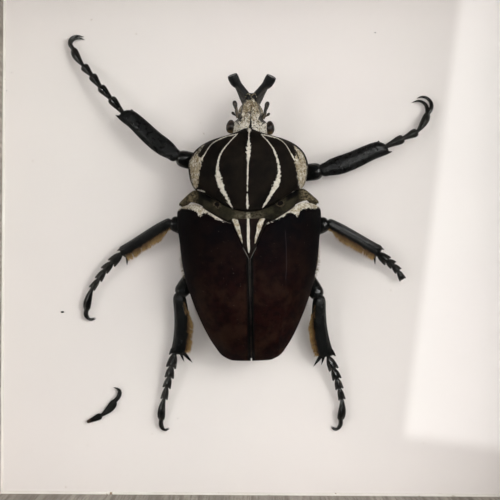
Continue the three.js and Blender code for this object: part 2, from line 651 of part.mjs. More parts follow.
function beetle() {
  const body = new THREE.Group();
  body.position.x = BODY_OFFSET;
  body.rotation.z = THREE.MathUtils.degToRad(BODY_TURN);
  body.add(pronotum(), mesothorax(), scutellum());
  body.add(wingCase("elytron_left", -1), wingCase("elytron_right", 1));

  const headGroup = new THREE.Group();
  headGroup.position.set(...HEAD_PLACE, 0);
  headGroup.rotation.z = THREE.MathUtils.degToRad(HEAD_TURN);
  headGroup.add(head(), eye("eye_left", -1), eye("eye_right", 1));
  headGroup.add(antenna("antenna_left", -1), antenna("antenna_right", 1));

  const whole = new THREE.Group();
  whole.position.set(...BEETLE_PLACE);
  whole.rotation.z = THREE.MathUtils.degToRad(BEETLE_TURN);
  whole.add(body, headGroup, underbody(), legs());
  whole.add(piece("loose_tarsus_tip", tarsusShape(LOOSE_TIP.joints, LOOSE_TIP.claw), finish("limb")));
  return whole;
}

const framedBeetle = new THREE.Group();
framedBeetle.name = "framed_goliath_beetle";
framedBeetle.add(frameCase(), beetle());

export default framedBeetle;
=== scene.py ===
import math

import bpy
import numpy as np
from mathutils import Matrix, Vector


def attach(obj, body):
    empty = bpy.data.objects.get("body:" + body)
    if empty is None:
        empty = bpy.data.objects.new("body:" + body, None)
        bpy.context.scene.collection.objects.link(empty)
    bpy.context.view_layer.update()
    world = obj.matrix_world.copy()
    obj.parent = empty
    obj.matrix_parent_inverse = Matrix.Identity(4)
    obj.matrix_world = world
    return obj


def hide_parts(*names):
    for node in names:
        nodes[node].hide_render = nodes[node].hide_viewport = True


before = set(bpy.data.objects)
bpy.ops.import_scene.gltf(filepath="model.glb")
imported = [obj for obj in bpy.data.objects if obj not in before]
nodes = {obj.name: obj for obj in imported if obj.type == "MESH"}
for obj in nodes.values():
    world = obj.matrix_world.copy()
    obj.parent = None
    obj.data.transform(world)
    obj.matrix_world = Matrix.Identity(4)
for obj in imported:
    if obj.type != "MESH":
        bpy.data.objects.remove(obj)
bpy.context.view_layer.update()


# Frame rails: four mitred lengths of grey limed hardwood, rebated for the glass and glued at the corners.
# The arrises are eased with sandpaper, and lime is rubbed into the open grain that runs along each rail.
ARRIS = 0.0005
LIME = (0.50, 0.455, 0.40, 1)
GREY_WOOD = (0.25, 0.222, 0.19, 1)
SIDES = ("bottom", "right", "top", "left")


def select_only(piece):
    bpy.ops.object.select_all(action="DESELECT")
    piece.select_set(True)
    bpy.context.view_layer.objects.active = piece


def open_mesh(piece):
    """Start editing a piece with all of it selected."""
    select_only(piece)
    bpy.ops.object.mode_set(mode="EDIT")
    bpy.ops.mesh.select_all(action="SELECT")


def close_mesh():
    bpy.ops.object.mode_set(mode="OBJECT")


def refine(piece, kind, **settings):
    """Add one modifier and apply it."""
    select_only(piece)
    step = piece.modifiers.new(kind.lower(), kind)
    for name, value in settings.items():
        setattr(step, name, value)
    bpy.ops.object.modifier_apply(modifier=step.name)


def hand_in(piece, name, material, slot, *stands_for):
    """Give a finished piece its name, finish and place in the object."""
    piece.name = name
    piece.data.name = name
    piece.data.materials.clear()
    piece.data.materials.append(material)
    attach(piece, "root")
    if stands_for:
        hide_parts(*stands_for)


def put(tree, kind, inputs=None, **settings):
    """Add one shader node with its options, and set or link its inputs."""
    made = tree.nodes.new(kind)
    for name, value in settings.items():
        setattr(made, name, value)
    for name, value in (inputs or {}).items():
        if isinstance(value, bpy.types.NodeSocket):
            tree.links.new(value, made.inputs[name])
        else:
            made.inputs[name].default_value = value
    return made


def calc(tree, operation, first, second=0.0):
    return put(tree, "ShaderNodeMath", {0: first, 1: second}, operation=operation).outputs[0]


def spread(tree, value, low, high, to_low=0.0, to_high=1.0):
    """Ease a value from one range into another."""
    limits = {"Value": value, "From Min": low, "From Max": high, "To Min": to_low, "To Max": to_high}
    return put(tree, "ShaderNodeMapRange", limits, interpolation_type="SMOOTHSTEP").outputs["Result"]


def tint(tree, amount, first, second):
    return put(tree, "ShaderNodeMix", {0: amount, 6: first, 7: second}, data_type="RGBA").outputs[2]


def cloud(tree, coordinates, scale, detail=3.0, roughness=0.55):
    """Cloudy values that fill the range from 0 to 1."""
    inputs = {"Vector": coordinates, "Scale": scale, "Detail": detail, "Roughness": roughness}
    noise = put(tree, "ShaderNodeTexNoise", inputs).outputs["Fac"]
    inputs = {"Value": noise, "From Min": 0.28, "From Max": 0.72}
    return put(tree, "ShaderNodeMapRange", inputs).outputs["Result"]


def finish(name, **sockets):
    """A new material with its fixed values set on the shader itself."""
    material = bpy.data.materials.new(name)
    material.use_nodes = True
    shader = material.node_tree.nodes["Principled BSDF"]
    for socket, value in sockets.items():
        shader.inputs[socket.replace("_", " ")].default_value = value
    return material, material.node_tree, shader


def dress(tree, shader, colour, roughness, height, strength, distance):
    """Wire a finish: its colour, its roughness and its relief."""
    bump = put(tree, "ShaderNodeBump", {"Height": height, "Strength": strength, "Distance": distance})
    tree.links.new(colour, shader.inputs["Base Color"])
    tree.links.new(roughness, shader.inputs["Roughness"])
    tree.links.new(bump.outputs["Normal"], shader.inputs["Normal"])


def on_object(tree):
    return put(tree, "ShaderNodeTexCoord").outputs["Object"]


def new_group(name, inputs, outputs):
    group = bpy.data.node_groups.new(name, "ShaderNodeTree")
    for label, kind in inputs:
        group.interface.new_socket(label, in_out="INPUT", socket_type="NodeSocket" + kind)
    for label, kind in outputs:
        group.interface.new_socket(label, in_out="OUTPUT", socket_type="NodeSocket" + kind)
    return group, put(group, "NodeGroupInput").outputs, put(group, "NodeGroupOutput").inputs


limed_grain, given, result = new_group(
    "limed_grain", [("Vector", "Vector")], [("Color", "Color"), ("Height", "Float")])
broad = put(limed_grain, "ShaderNodeMapping", {"Vector": given["Vector"], "Scale": (7, 120, 120)}).outputs[0]
inputs = {"Vector": given["Vector"], "Scale": (30, 1300, 1300)}
fine = put(limed_grain, "ShaderNodeMapping", inputs).outputs[0]
figure = cloud(limed_grain, broad, 1.0, 5.0, 0.6)
pores = cloud(limed_grain, fine, 1.0, 3.0, 0.6)
washed = tint(limed_grain, spread(limed_grain, figure, 0.0, 1.0), GREY_WOOD, LIME)
streaked = tint(limed_grain, spread(limed_grain, pores, 0.1, 0.7), GREY_WOOD, washed)
limed_grain.links.new(streaked, result["Color"])
limed_grain.links.new(pores, result["Height"])


def limed_finish(name, turn):
    """Limed wood whose grain is turned to run along a piece."""
    material, tree, shader = finish(name, Specular_IOR_Level=0.35)
    place = on_object(tree)
    turned = put(tree, "ShaderNodeMapping", {"Vector": place, "Rotation": turn}).outputs[0]
    grain = put(tree, "ShaderNodeGroup", node_tree=limed_grain)
    tree.links.new(turned, grain.inputs["Vector"])
    roughness = spread(tree, grain.outputs["Height"], 0.3, 0.7, 0.72, 0.5)
    dress(tree, shader, grain.outputs["Color"], roughness, grain.outputs["Height"], 0.35, 0.0002)
    return material


lengthwise = limed_finish("limed_wood_across", (0, 0, 0))
upright = limed_finish("limed_wood_upright", (0, 0, math.pi / 2))
for side in SIDES:
    rail = bpy.data.objects.new("rail", nodes[f"frame_{side}"].data.copy())
    bpy.context.collection.objects.link(rail)
    open_mesh(rail)
    bpy.ops.mesh.remove_doubles(threshold=1e-6)
    bpy.ops.mesh.dissolve_limited(angle_limit=0.01)
    close_mesh()
    refine(rail, "BEVEL", width=ARRIS, segments=2, limit_method="ANGLE", angle_limit=0.5)
    wood = lengthwise if side in ("bottom", "top") else upright
    hand_in(rail, f"rail_{side}", wood, "limed_wood", f"frame_{side}")


# Liners: thin limed strips that stand between the board and the glass on all four sides.
# Their grain runs from front to back, so the walls look finely streaked.
liner_wood = limed_finish("limed_liner", (0, math.pi / 2, 0))
for side in SIDES:
    nodes[f"liner_{side}"].material_slots[0].material = liner_wood


# Slips: narrow white card strips glued in the corner between liner and board.
# The card is a little worn, with brown specks where the white has rubbed off.
slip_card, tree, shader = finish("white_card")
CARD_ROUGHNESS = 0.6
place = on_object(tree)
fibre = cloud(tree, place, 900.0)
worn = spread(tree, cloud(tree, place, 420.0, 4.0), 0.86, 0.95)
shade = tint(tree, cloud(tree, place, 90.0), (0.80, 0.76, 0.70, 1), (0.93, 0.90, 0.85, 1))
colour = tint(tree, worn, shade, (0.30, 0.21, 0.13, 1))
dress(tree, shader, colour, calc(tree, "ADD", CARD_ROUGHNESS), fibre, 0.2, 0.0001)
for side in SIDES:
    nodes[f"slip_{side}"].material_slots[0].material = slip_card


# Backing board: paper-faced foam board, warm white and quite matt.
# It lies against the liners, and carries the glued beetle.
board_paper, tree, shader = finish("warm_white_paper", Specular_IOR_Level=0.2)
place = on_object(tree)
mottle = cloud(tree, place, 26.0, 4.0)
fibre = cloud(tree, place, 1800.0, 3.0, 0.7)
paper = tint(tree, mottle, (0.805, 0.758, 0.735, 1), (0.83, 0.785, 0.757, 1))
specks = put(tree, "ShaderNodeTexNoise", {"Vector": place, "Scale": 620.0, "Detail": 1.0}).outputs["Fac"]
dust = spread(tree, specks, 0.80, 0.83)
colour = tint(tree, dust, paper, (0.55, 0.49, 0.43, 1))
roughness = spread(tree, fibre, 0.3, 0.7, 0.82, 0.95)
dress(tree, shader, colour, roughness, fibre, 0.12, 0.0001)
nodes["backing_board"].material_slots[0].material = board_paper


# Back panel: brown hardboard that closes the box from behind.
# Pressed from wood fibre, smooth with darker flecks, and held by the spring tabs.
hardboard, tree, shader = finish("brown_hardboard", Specular_IOR_Level=0.3)
place = on_object(tree)
fleck = cloud(tree, place, 700.0, 5.0, 0.7)
brown = tint(tree, cloud(tree, place, 18.0, 4.0), (0.19, 0.115, 0.06, 1), (0.30, 0.19, 0.11, 1))
colour = tint(tree, spread(tree, fleck, 0.56, 0.7), brown, (0.08, 0.045, 0.022, 1))
dress(tree, shader, colour, spread(tree, fleck, 0.3, 0.7, 0.6, 0.8), fleck, 0.25, 0.0001)
nodes["back_panel"].material_slots[0].material = hardboard


# Spring tabs and sawtooth hanger: stamped from zinc-plated steel strip.
# The tabs press on the panel from the rails, the hanger is fixed near the top edge of the panel.
zinc, tree, shader = finish("zinc_plated_steel", Metallic=1.0)
place = on_object(tree)
brushed = put(tree, "ShaderNodeMapping", {"Vector": place, "Scale": (300, 4000, 4000)}).outputs[0]
scratch = cloud(tree, brushed, 1.0, 3.0)
spangle = cloud(tree, place, 500.0, 2.0)
colour = tint(tree, spangle, (0.42, 0.42, 0.41, 1), (0.66, 0.66, 0.64, 1))
roughness = spread(tree, scratch, 0.3, 0.7, 0.28, 0.5)
dress(tree, shader, colour, roughness, scratch, 0.1, 0.00005)
for side in SIDES:
    for number in (1, 2):
        nodes[f"tab_{side}_{number}"].material_slots[0].material = zinc
nodes["hanger"].material_slots[0].material = zinc


# Underbody: breast and abdomen in one, dark brown shell with ringed segments and cream hair along the flanks.
# The breast rests on the board, where a drop of glue holds it; the legs come out of its sides.
SPECIMEN_PLACE = (-0.0044, -0.0054, 0.0123)
SPECIMEN_TURN = math.radians(0.35)
MILLIMETRES = Matrix.Scale(0.001, 4)
SPECIMEN = Matrix.Translation(SPECIMEN_PLACE) @ Matrix.Rotation(SPECIMEN_TURN, 4, "Z") @ MILLIMETRES
BODY = SPECIMEN @ Matrix.Translation((-0.13, 0, 0)) @ Matrix.Rotation(math.radians(0.94), 4, "Z")
BELLY_RINGS = [
    (36, 36.5, 5, 5.5, 3.5, 4), (30, 30, 9.5, 5, 4.6, 4.6), (18, 18, 13, 5, 4.6, 4.6),
    (12, 12, 19, 6, 5, 5.6), (6, 6, 22, 6.4, 11, 6), (0, 0, 23.4, 6.4, 11.4, 6), (-6, -6, 23, 6.4, 11.4, 6),
    (-12, -12, 20.5, 6.4, 11.4, 6), (-20, -20, 16.5, 6.8, 11.2, 6.2), (-28, -28, 12.4, 7.2, 9.2, 6),
    (-34, -34, 8, 8, 5.6, 5), (-36.2, -36.4, 3.6, 9, 2.6, 2.4),
]
BELLY_SEAMS = (1, -7, -13.5, -20, -26.5, -32)
BOW = 1.6
FLANK_HAIRS = 1500
FLANK_SPAN, FLANK_LEVELS = (-22, 8), (6.5, 12.5)
FLANK_LEANS = ((0.7, 1.0), (-0.6, 0.1), (-0.2, 0.3))
chance = np.random.default_rng(7)


def smooth_line(pairs):
    """A smooth line through (place, value) pairs that never overshoots them."""
    place, value = np.array(sorted(pairs), float).T
    run = np.diff(place)
    rise = np.diff(value) / run
    product = rise[:-1] * rise[1:]
    total = np.where(product > 0, rise[:-1] + rise[1:], 1.0)
    slope = np.concatenate([rise[:1], np.where(product > 0, 2 * product / total, 0), rise[-1:]])

    def at(spot):
        spot = np.clip(spot, place[0], place[-1])
        i = np.clip(np.searchsorted(place, spot) - 1, 0, len(run) - 1)
        t = (spot - place[i]) / run[i]
        start = value[i] * (1 + 2 * t) + slope[i] * run[i] * t
        end = value[i + 1] * (3 - 2 * t) + slope[i + 1] * run[i] * (t - 1)
        return start * (1 - t) ** 2 + end * t ** 2
    return at


def move_points(piece, form):
    """Put every point of a piece where the form says."""
    spots = np.empty(len(piece.data.vertices) * 3)
    piece.data.vertices.foreach_get("co", spots)
    piece.data.vertices.foreach_set("co", form(*spots.reshape(-1, 3).T).ravel())
    piece.data.update()


def turn_faces_out(piece):
    open_mesh(piece)
    bpy.ops.mesh.remove_doubles(threshold=1e-5)
    bpy.ops.mesh.normals_make_consistent(inside=False)
    close_mesh()


def settle(piece, place):
    """Bring a piece from its own millimetres to its place in the frame, and smooth its shading."""
    select_only(piece)
    piece.matrix_world = place
    bpy.ops.object.transform_apply(location=True, rotation=True, scale=True)
    bpy.ops.object.shade_smooth_by_angle(angle=math.radians(50))


def ringed_body(rings, around, lengthways, seams=(), seam_depth=0.0):
    """A closed body swelled from a sphere: half-ellipses above and below on every ring from front to back."""
    bpy.ops.object.select_all(action="DESELECT")
    bpy.ops.mesh.primitive_uv_sphere_add(segments=around, ring_count=lengthways, radius=1)
    piece = bpy.context.active_object
    steps = np.linspace(0, 1, len(rings))
    edge, middle, half, level, up, down = (smooth_line(zip(steps, column)) for column in zip(*rings))

    def form(x, y, z):
        t = np.arccos(np.clip(z, -1, 1)) / math.pi
        cap = 2 / lengthways
        w = np.clip((t - cap) / (1 - 2 * cap), 0, 1)
        swell = np.clip(np.minimum(t, 1 - t) / cap, 0, 1) ** 0.6
        angle = np.arctan2(y, x)
        across = np.cos(angle) * swell
        rise = np.sin(angle) * swell
        forward = edge(w) + (middle(w) - edge(w)) * (1 - across ** 2) ** BOW
        groove = sum(np.exp(-((forward - seam) / 0.45) ** 2) for seam in seams) if seams else 0
        trim = 1 - seam_depth * groove
        height = level(w) + rise * np.where(rise > 0, up(w), down(w)) * trim
        return np.stack([across * half(w) * trim, forward, height], -1)
    move_points(piece, form)
    turn_faces_out(piece)
    return piece


def hairs(roots, tips, thickness, tone):
    """Many bristles as one mesh: each a slim three-sided spike with a bend at its middle."""
    count = len(roots)
    lean = tips - roots
    side = np.cross(lean, np.array([0.3, 0.2, 1.0]))
    side /= np.linalg.norm(side, axis=1)[:, None]
    other = np.cross(lean, side)
    other /= np.linalg.norm(other, axis=1)[:, None]
    sag = np.array([0, 0, -0.06]) * np.linalg.norm(lean, axis=1)[:, None]
    rows = []
    for middle, girth in ((roots, 1.0), (roots + lean * 0.55 - sag, 0.75)):
        for turn in (0, 2 * math.pi / 3, 4 * math.pi / 3):
            rows.append(middle + girth * thickness * (math.cos(turn) * side + math.sin(turn) * other))
    rows.append(tips)
    spots = np.stack(rows, 1).reshape(-1, 3)
    faces = []
    for i in range(count):
        b = 7 * i
        faces.append((b + 2, b + 1, b))
        for j, k in ((0, 1), (1, 2), (2, 0)):
            faces.append((b + j, b + k, b + 3 + k, b + 3 + j))
            faces.append((b + 3 + j, b + 3 + k, b + 6))
    mesh = bpy.data.meshes.new("bristles")
    mesh.from_pydata(spots.tolist(), [], faces)
    along_hair = np.tile([0, 0, 0, 0.55, 0.55, 0.55, 1], count)
    for label, values in (("along_hair", along_hair), ("tone", np.repeat(tone, 7))):
        mesh.attributes.new(label, "FLOAT", "POINT").data.foreach_set("value", values)
    tuft = bpy.data.objects.new("bristles", mesh)
    bpy.context.collection.objects.link(tuft)
    turn_faces_out(tuft)
    return tuft


brown_shell, tree, shader = finish("brown_belly_shell", Specular_IOR_Level=0.4)
place = on_object(tree)
pits = cloud(tree, place, 1500.0, 3.0)
patch = spread(tree, cloud(tree, place, 180.0, 4.0), 0.35, 0.65)
colour = tint(tree, patch, (0.018, 0.010, 0.006, 1), (0.055, 0.034, 0.021, 1))
dress(tree, shader, colour, spread(tree, pits, 0.3, 0.7, 0.35, 0.6), pits, 0.3, 0.0001)
underbody = ringed_body(BELLY_RINGS, 56, 60, BELLY_SEAMS, 0.035)
refine(underbody, "SUBSURF", levels=1, render_levels=1)
settle(underbody, BODY)
hand_in(underbody, "underbody_shell", brown_shell, "brown_shell", "underbody")


def hair_finish(name, roughness, root_tones, tip_tones, first=None):
    """Hair that pales from its root to its tip, every hair in a tone of its own."""
    material, tree, shader = finish(name, Roughness=roughness, Specular_IOR_Level=0.3)
    tone = put(tree, "ShaderNodeAttribute", attribute_name="tone").outputs["Fac"]
    along_hair = put(tree, "ShaderNodeAttribute", attribute_name="along_hair").outputs["Fac"]
    pale = along_hair if first is None else spread(tree, along_hair, first, 1.0)
    colour = tint(tree, pale, tint(tree, tone, *root_tones), tint(tree, tone, *tip_tones))
    tree.links.new(colour, shader.inputs["Base Color"])
    return material


cream_hair = hair_finish("cream_hair", 0.6, [(0.10, 0.065, 0.035, 1)] * 2,
                         [(0.20, 0.14, 0.08, 1), (0.52, 0.43, 0.30, 1)])
flank = smooth_line([(ring[0], ring[2]) for ring in BELLY_RINGS])
back = chance.uniform(*FLANK_SPAN, FLANK_HAIRS)
hand = np.where(np.arange(FLANK_HAIRS) % 2 == 0, 1.0, -1.0)
level = chance.uniform(*FLANK_LEVELS, FLANK_HAIRS)
reach = flank(back) * np.sqrt(1 - ((level - 6.4) / 12.5) ** 2)
roots = np.stack([hand * (reach - 0.2), back, level], -1)
length = chance.uniform(0.7, 1.5, FLANK_HAIRS)[:, None]
out, rearward, up = (chance.uniform(low, high, FLANK_HAIRS) for low, high in FLANK_LEANS)
tips = roots + np.stack([hand * out, rearward, up], -1) * length
flank_hair = hairs(roots, tips, 0.05, chance.uniform(0, 1, FLANK_HAIRS))
settle(flank_hair, BODY)
hand_in(flank_hair, "flank_hair", cream_hair, "golden_hair")


# Pronotum: the broad shield behind the head, dark brown velvet with chalk-white stripes and side patches.
# One domed piece of shell; the stripes are a scaly bloom on the velvet, not raised.
PRONOTUM_RINGS = [
    (37.7, 40.1, 5.8, 15, 5.4, 3), (37.3, 38.7, 9.9, 15, 8, 4), (35.1, 36.2, 15.4, 15, 10.4, 4.4),
    (31.6, 32.2, 18.9, 15, 12.2, 4.5), (27.8, 28, 20, 15, 13, 4.5), (24.2, 22.8, 19.6, 15, 12.8, 4.5),
    (21.4, 17, 18.6, 15, 11.8, 4.4), (19.8, 12.6, 17.4, 15, 10.4, 3.6),
]
MEDIAN = [
    (40.6, 0.6, -0.8), (40.0, 0.58, 0.2), (39.2, 0.54, 0.52), (38.3, 0.46, 0.22), (36.6, 0.36, 0.2),
    (34.9, 0.28, 0.36), (33.2, 0.22, 0.64), (31.6, 0.12, 0.68), (29.9, 0.02, 0.56), (28.3, -0.06, 0.28),
    (25.8, -0.15, 0.24), (23.3, -0.27, 0.22), (20.2, -0.38, 0.16), (19, -0.43, 0.14), (18.6, -0.44, -0.3),
    (18.1, -0.45, 0.14), (15.7, -0.46, 0.3), (14.4, -0.43, 0.38), (13.4, -0.42, 0.15), (12.9, -0.42, -0.8),
]
INNER_LEFT = [
    (38.4, -3.0, -0.8), (37.8, -3.5, 0.2), (35.3, -5.8, 0.2), (32.6, -8, 0.22), (29.6, -9.5, 0.3),
    (26.8, -9.92, 0.4), (24.8, -9.9, 0.66), (22.9, -9.6, 0.95), (21.3, -9.1, 0.95), (19.6, -8.45, 0.72),
    (18, -7.6, 0.6), (15.3, -6.35, 0.44), (13.9, -5.4, 0.15), (13.4, -5.0, -0.8),
]
INNER_RIGHT = [
    (38.0, 4.1, -0.8), (37.4, 4.6, 0.16), (34.6, 6.96, 0.18), (31.3, 8.8, 0.32), (27.9, 9.7, 0.34),
    (25.2, 9.98, 0.48), (23.1, 9.7, 0.62), (20.9, 8.9, 0.95), (19.3, 8.1, 0.8), (18.1, 7.3, 0.52),
    (15.6, 5.8, 0.46), (13.8, 4.6, 0.15), (13.3, 4.2, -0.8),
]
OUTER_LEFT = [
    (-3.3, 38.0, -0.8), (-4.0, 37.8, 0.22), (-7.4, 37.1, 0.24), (-9.1, 36.4, 0.2), (-11.3, 35.3, 0.17),
    (-12.9, 33.5, 0.22), (-14.1, 31.5, 0.32), (-15.1, 30, 0.5), (-15.6, 29.4, -0.8),
]
OUTER_RIGHT = [
    (4.0, 37.8, -0.8), (4.8, 37.6, 0.22), (8.2, 36.85, 0.22), (10, 36.25, 0.18), (12.2, 34.4, 0.16),
    (13.7, 31.8, 0.26), (15, 29.4, 0.5), (15.5, 28.6, -0.8),
]
PATCH_LEFT = [
    (35.5, -14.0, -0.8), (34.9, -14.5, 0.15), (33.5, -15.65, 0.4), (32.4, -16.5, 0.5), (31.4, -17.2, 0.7),
    (30.7, -17.3, 1.3), (29.8, -17.1, 2.1), (28.2, -17.35, 2.0), (26.2, -17.5, 1.55), (24.1, -17.55, 1.25),
    (22, -17.4, 0.85), (20.9, -17.4, 0.5), (20.3, -17.4, -0.8),
]
PATCH_RIGHT = [
    (34.4, 14.9, -0.8), (33.9, 15.3, 0.15), (33.2, 15.8, 0.5), (31.85, 16.7, 0.95), (30.6, 17.0, 1.35),
    (29.6, 17.0, 1.8), (28.2, 17.15, 1.95), (25.9, 17.6, 1.75), (23.3, 17.55, 1.4), (22, 17.5, 1.15),
    (20.7, 17.45, 0.8), (20.0, 17.4, 0.3), (19.6, 17.4, -0.8),
]
SPUR_GAP_LEFT = [
    (34.6, -14.6, -0.4), (34.0, -15.1, 0.1), (32.6, -16.4, 0.16), (31.0, -17.6, 0.12), (30.4, -18.0, -0.4),
]
SPUR_GAP_RIGHT = [
    (32.4, 15.6, -0.4), (31.6, 15.9, 0.2), (30.4, 16.3, 0.2), (29.4, 16.6, 0.14), (28.9, 16.7, -0.4),
]
DASH_LEFT = [
    (-17.2, 20.3, -0.8), (-16.8, 20.1, 0.2), (-15.6, 19.75, 0.24), (-14.4, 19.3, 0.16), (-14, 19.1, -0.8),
]
DASH_RIGHT = [
    (13.9, 18.6, -0.8), (14.4, 18.75, 0.2), (15.6, 19.05, 0.26), (16.6, 19.45, 0.2), (17, 19.6, -0.8),
]


def in_millimetres(tree, place):
    """Coordinates in a piece's own frame, in millimetres, and their x and y."""
    spot, turn, size = place.decompose()
    inputs = {"Vector": on_object(tree), "Location": spot, "Rotation": turn.to_euler(), "Scale": size}
    own = put(tree, "ShaderNodeMapping", inputs, vector_type="TEXTURE").outputs[0]
    parts = put(tree, "ShaderNodeSeparateXYZ", {"Vector": own}).outputs
    return own, parts["X"], parts["Y"]


def follow(tree, value, pairs):
    """The value of a drawn curve through (place, value) pairs."""
    pairs = sorted(pairs)
    first, last = pairs[0][0], pairs[-1][0]
    low = min(pair[1] for pair in pairs) - 0.01
    high = max(pair[1] for pair in pairs) + 0.01
    inputs = {"Value": value, "From Min": first, "From Max": last}
    share = put(tree, "ShaderNodeMapRange", inputs).outputs["Result"]
    drawn = put(tree, "ShaderNodeFloatCurve", {"Value": share})
    line = drawn.mapping.curves[0]
    spots = [((place - first) / (last - first), (level - low) / (high - low)) for place, level in pairs]
    line.points[0].location = spots[0]
    line.points[1].location = spots[-1]
    for spot in spots[1:-1]:
        line.points.new(*spot)
    for point in line.points:
        point.handle_type = "AUTO_CLAMPED"
    drawn.mapping.update()
    back = {"Value": drawn.outputs[0], "To Min": low, "To Max": high}
    return put(tree, "ShaderNodeMapRange", back).outputs["Result"]


def stripe(tree, along, across, rag, line, edge=0.07):
    """A painted line, given as (place along it, its middle, its half-width), with a ragged edge."""
    middle = follow(tree, along, [(place, centre) for place, centre, half in line])
    half = follow(tree, along, [(place, half) for place, centre, half in line])
    off = calc(tree, "ABSOLUTE", calc(tree, "SUBTRACT", across, middle))
    uneven = calc(tree, "MULTIPLY", rag, spread(tree, half, 0.0, 0.8, 0.12, 1.0))
    depth = calc(tree, "SUBTRACT", calc(tree, "ADD", half, uneven), off)
    return spread(tree, depth, -edge, edge)


def either(tree, masks):
    whole = masks[0]
    for mask in masks[1:]:
        whole = calc(tree, "MAXIMUM", whole, mask)
    return whole


chalk_bloom, given, result = new_group(
    "chalk_bloom", [("Vector", "Vector"), ("Base", "Color"), ("Mask", "Float"), ("Tan", "Float")],
    [("Color", "Color"), ("Height", "Float")])
mottle = cloud(chalk_bloom, given["Vector"], 0.9, 3.0, 0.65)
speck = spread(chalk_bloom, cloud(chalk_bloom, given["Vector"], 1.7, 1.0), 0.58, 0.72)
uneven = calc(chalk_bloom, "MULTIPLY", calc(chalk_bloom, "SUBTRACT", mottle, 0.52), 1.3)
tanned = calc(chalk_bloom, "ADD", given["Tan"], uneven)
chalk = tint(chalk_bloom, spread(chalk_bloom, tanned, 0.0, 1.0), (0.64, 0.60, 0.52, 1), (0.29, 0.24, 0.15, 1))
speck = calc(chalk_bloom, "MULTIPLY", speck, spread(chalk_bloom, given["Tan"], 0.0, 1.0, 0.1, 0.9))
chalk = tint(chalk_bloom, speck, chalk, (0.115, 0.075, 0.038, 1))
chalk_bloom.links.new(tint(chalk_bloom, given["Mask"], given["Base"], chalk), result["Color"])
chalk_bloom.links.new(calc(chalk_bloom, "MULTIPLY", given["Mask"], mottle), result["Height"])

velvet_nap, given, result = new_group(
    "velvet_nap", [("Vector", "Vector"), ("Dark", "Color"), ("Light", "Color")],
    [("Color", "Color"), ("Nap", "Float")])
nap = cloud(velvet_nap, given["Vector"], 7.0, 3.0, 0.65)
drift = cloud(velvet_nap, given["Vector"], 0.22, 3.0)
close, broad = (calc(velvet_nap, "MULTIPLY", part, share) for part, share in ((nap, 0.4), (drift, 0.6)))
lie = spread(velvet_nap, calc(velvet_nap, "ADD", close, broad), 0.2, 0.85)
velvet_nap.links.new(tint(velvet_nap, lie, given["Dark"], given["Light"]), result["Color"])
velvet_nap.links.new(nap, result["Nap"])


def ragged(tree, own, amount):
    """A small uneven value to break up the edge of a marking."""
    return calc(tree, "MULTIPLY", calc(tree, "SUBTRACT", cloud(tree, own, 1.5, 2.0, 0.7), 0.5), amount)


def bloom_over_velvet(tree, shader, own, mask, tan, dark, light):
    velvet = put(tree, "ShaderNodeGroup", {"Vector": own, "Dark": dark, "Light": light}, node_tree=velvet_nap)
    inputs = {"Vector": own, "Base": velvet.outputs["Color"], "Mask": mask, "Tan": tan}
    bloom = put(tree, "ShaderNodeGroup", inputs, node_tree=chalk_bloom)
    height = calc(tree, "ADD", velvet.outputs["Nap"], bloom.outputs["Height"])
    dress(tree, shader, bloom.outputs["Color"], spread(tree, mask, 0, 1, 0.68, 0.92), height, 0.3, 0.00012)


striped_velvet, tree, shader = finish("striped_velvet", Specular_IOR_Level=0.06)
own, across, along = in_millimetres(tree, BODY)
rag = ragged(tree, own, 1.1)
stripes = [stripe(tree, along, across, rag, line) for line in (MEDIAN, INNER_LEFT, INNER_RIGHT)]
outer_lines = (OUTER_LEFT, OUTER_RIGHT, DASH_LEFT, DASH_RIGHT)
stripes += [stripe(tree, across, along, rag, line) for line in outer_lines]
patches = either(tree, [stripe(tree, along, across, rag, line, 0.12) for line in (PATCH_LEFT, PATCH_RIGHT)])
gaps = either(tree, [stripe(tree, along, across, rag, line) for line in (SPUR_GAP_LEFT, SPUR_GAP_RIGHT)])
patches = calc(tree, "MULTIPLY", patches, calc(tree, "SUBTRACT", 1.0, gaps))
patch_tan = spread(tree, patches, 0, 1, 0.1, 0.66)
stripes = either(tree, [*stripes, patches])
velvet_tones = (0.0022, 0.0014, 0.0008, 1), (0.0100, 0.0066, 0.0040, 1)
bloom_over_velvet(tree, shader, own, stripes, patch_tan, *velvet_tones)
pronotum = ringed_body(PRONOTUM_RINGS, 80, 56)
refine(pronotum, "SUBSURF", levels=1, render_levels=1)
settle(pronotum, BODY)
hand_in(pronotum, "pronotum_shield", striped_velvet, "striped_velvet", "pronotum")


# Wing cases: two domed shells of dark maroon, velvety shell that meet along the suture.
# Each is thin and rolled under at its rim, with a ridge at the suture, a faint rib and white bloom in front.
WING_HALF = [
    (-37.2, 4.5), (-36.8, 6.6), (-36.2, 8.1), (-35, 10.1), (-33, 11.7), (-29, 14.3), (-20.7, 18.2),
    (-15.5, 20.1), (-9, 21.9), (-1, 23.2), (4, 23.7), (8, 24.3), (12.6, 24.3), (15, 23.4), (16, 22.8),
]
WING_CREST = [
    (-37.2, 15.5), (-32, 21), (-25, 25), (-15, 27.8), (-3, 28.5), (5, 27.5), (14, 24.5), (16, 23.6),
]
WING_RIM = [(-37.2, 13.5), (-32, 12), (-18, 11.5), (-10, 13.5), (0, 13.5), (6, 12.4), (14, 12.8)]
WING_FRONT = [
    (0, 9), (0.066, 9.4), (0.208, 10.9), (0.333, 12.3), (0.443, 13.5), (0.546, 14.7), (0.64, 15.4),
    (0.73, 15.7), (0.847, 15.4), (0.956, 14.7), (1, 14.1),
]
WING_END = -36.9
WING_INNER, WING_WIDTH = 6.2, 18.1
SCUTELLUM_TIP = -2.6
SCUTELLUM_LENGTH, SCUTELLUM_HALF = 12.6, 6
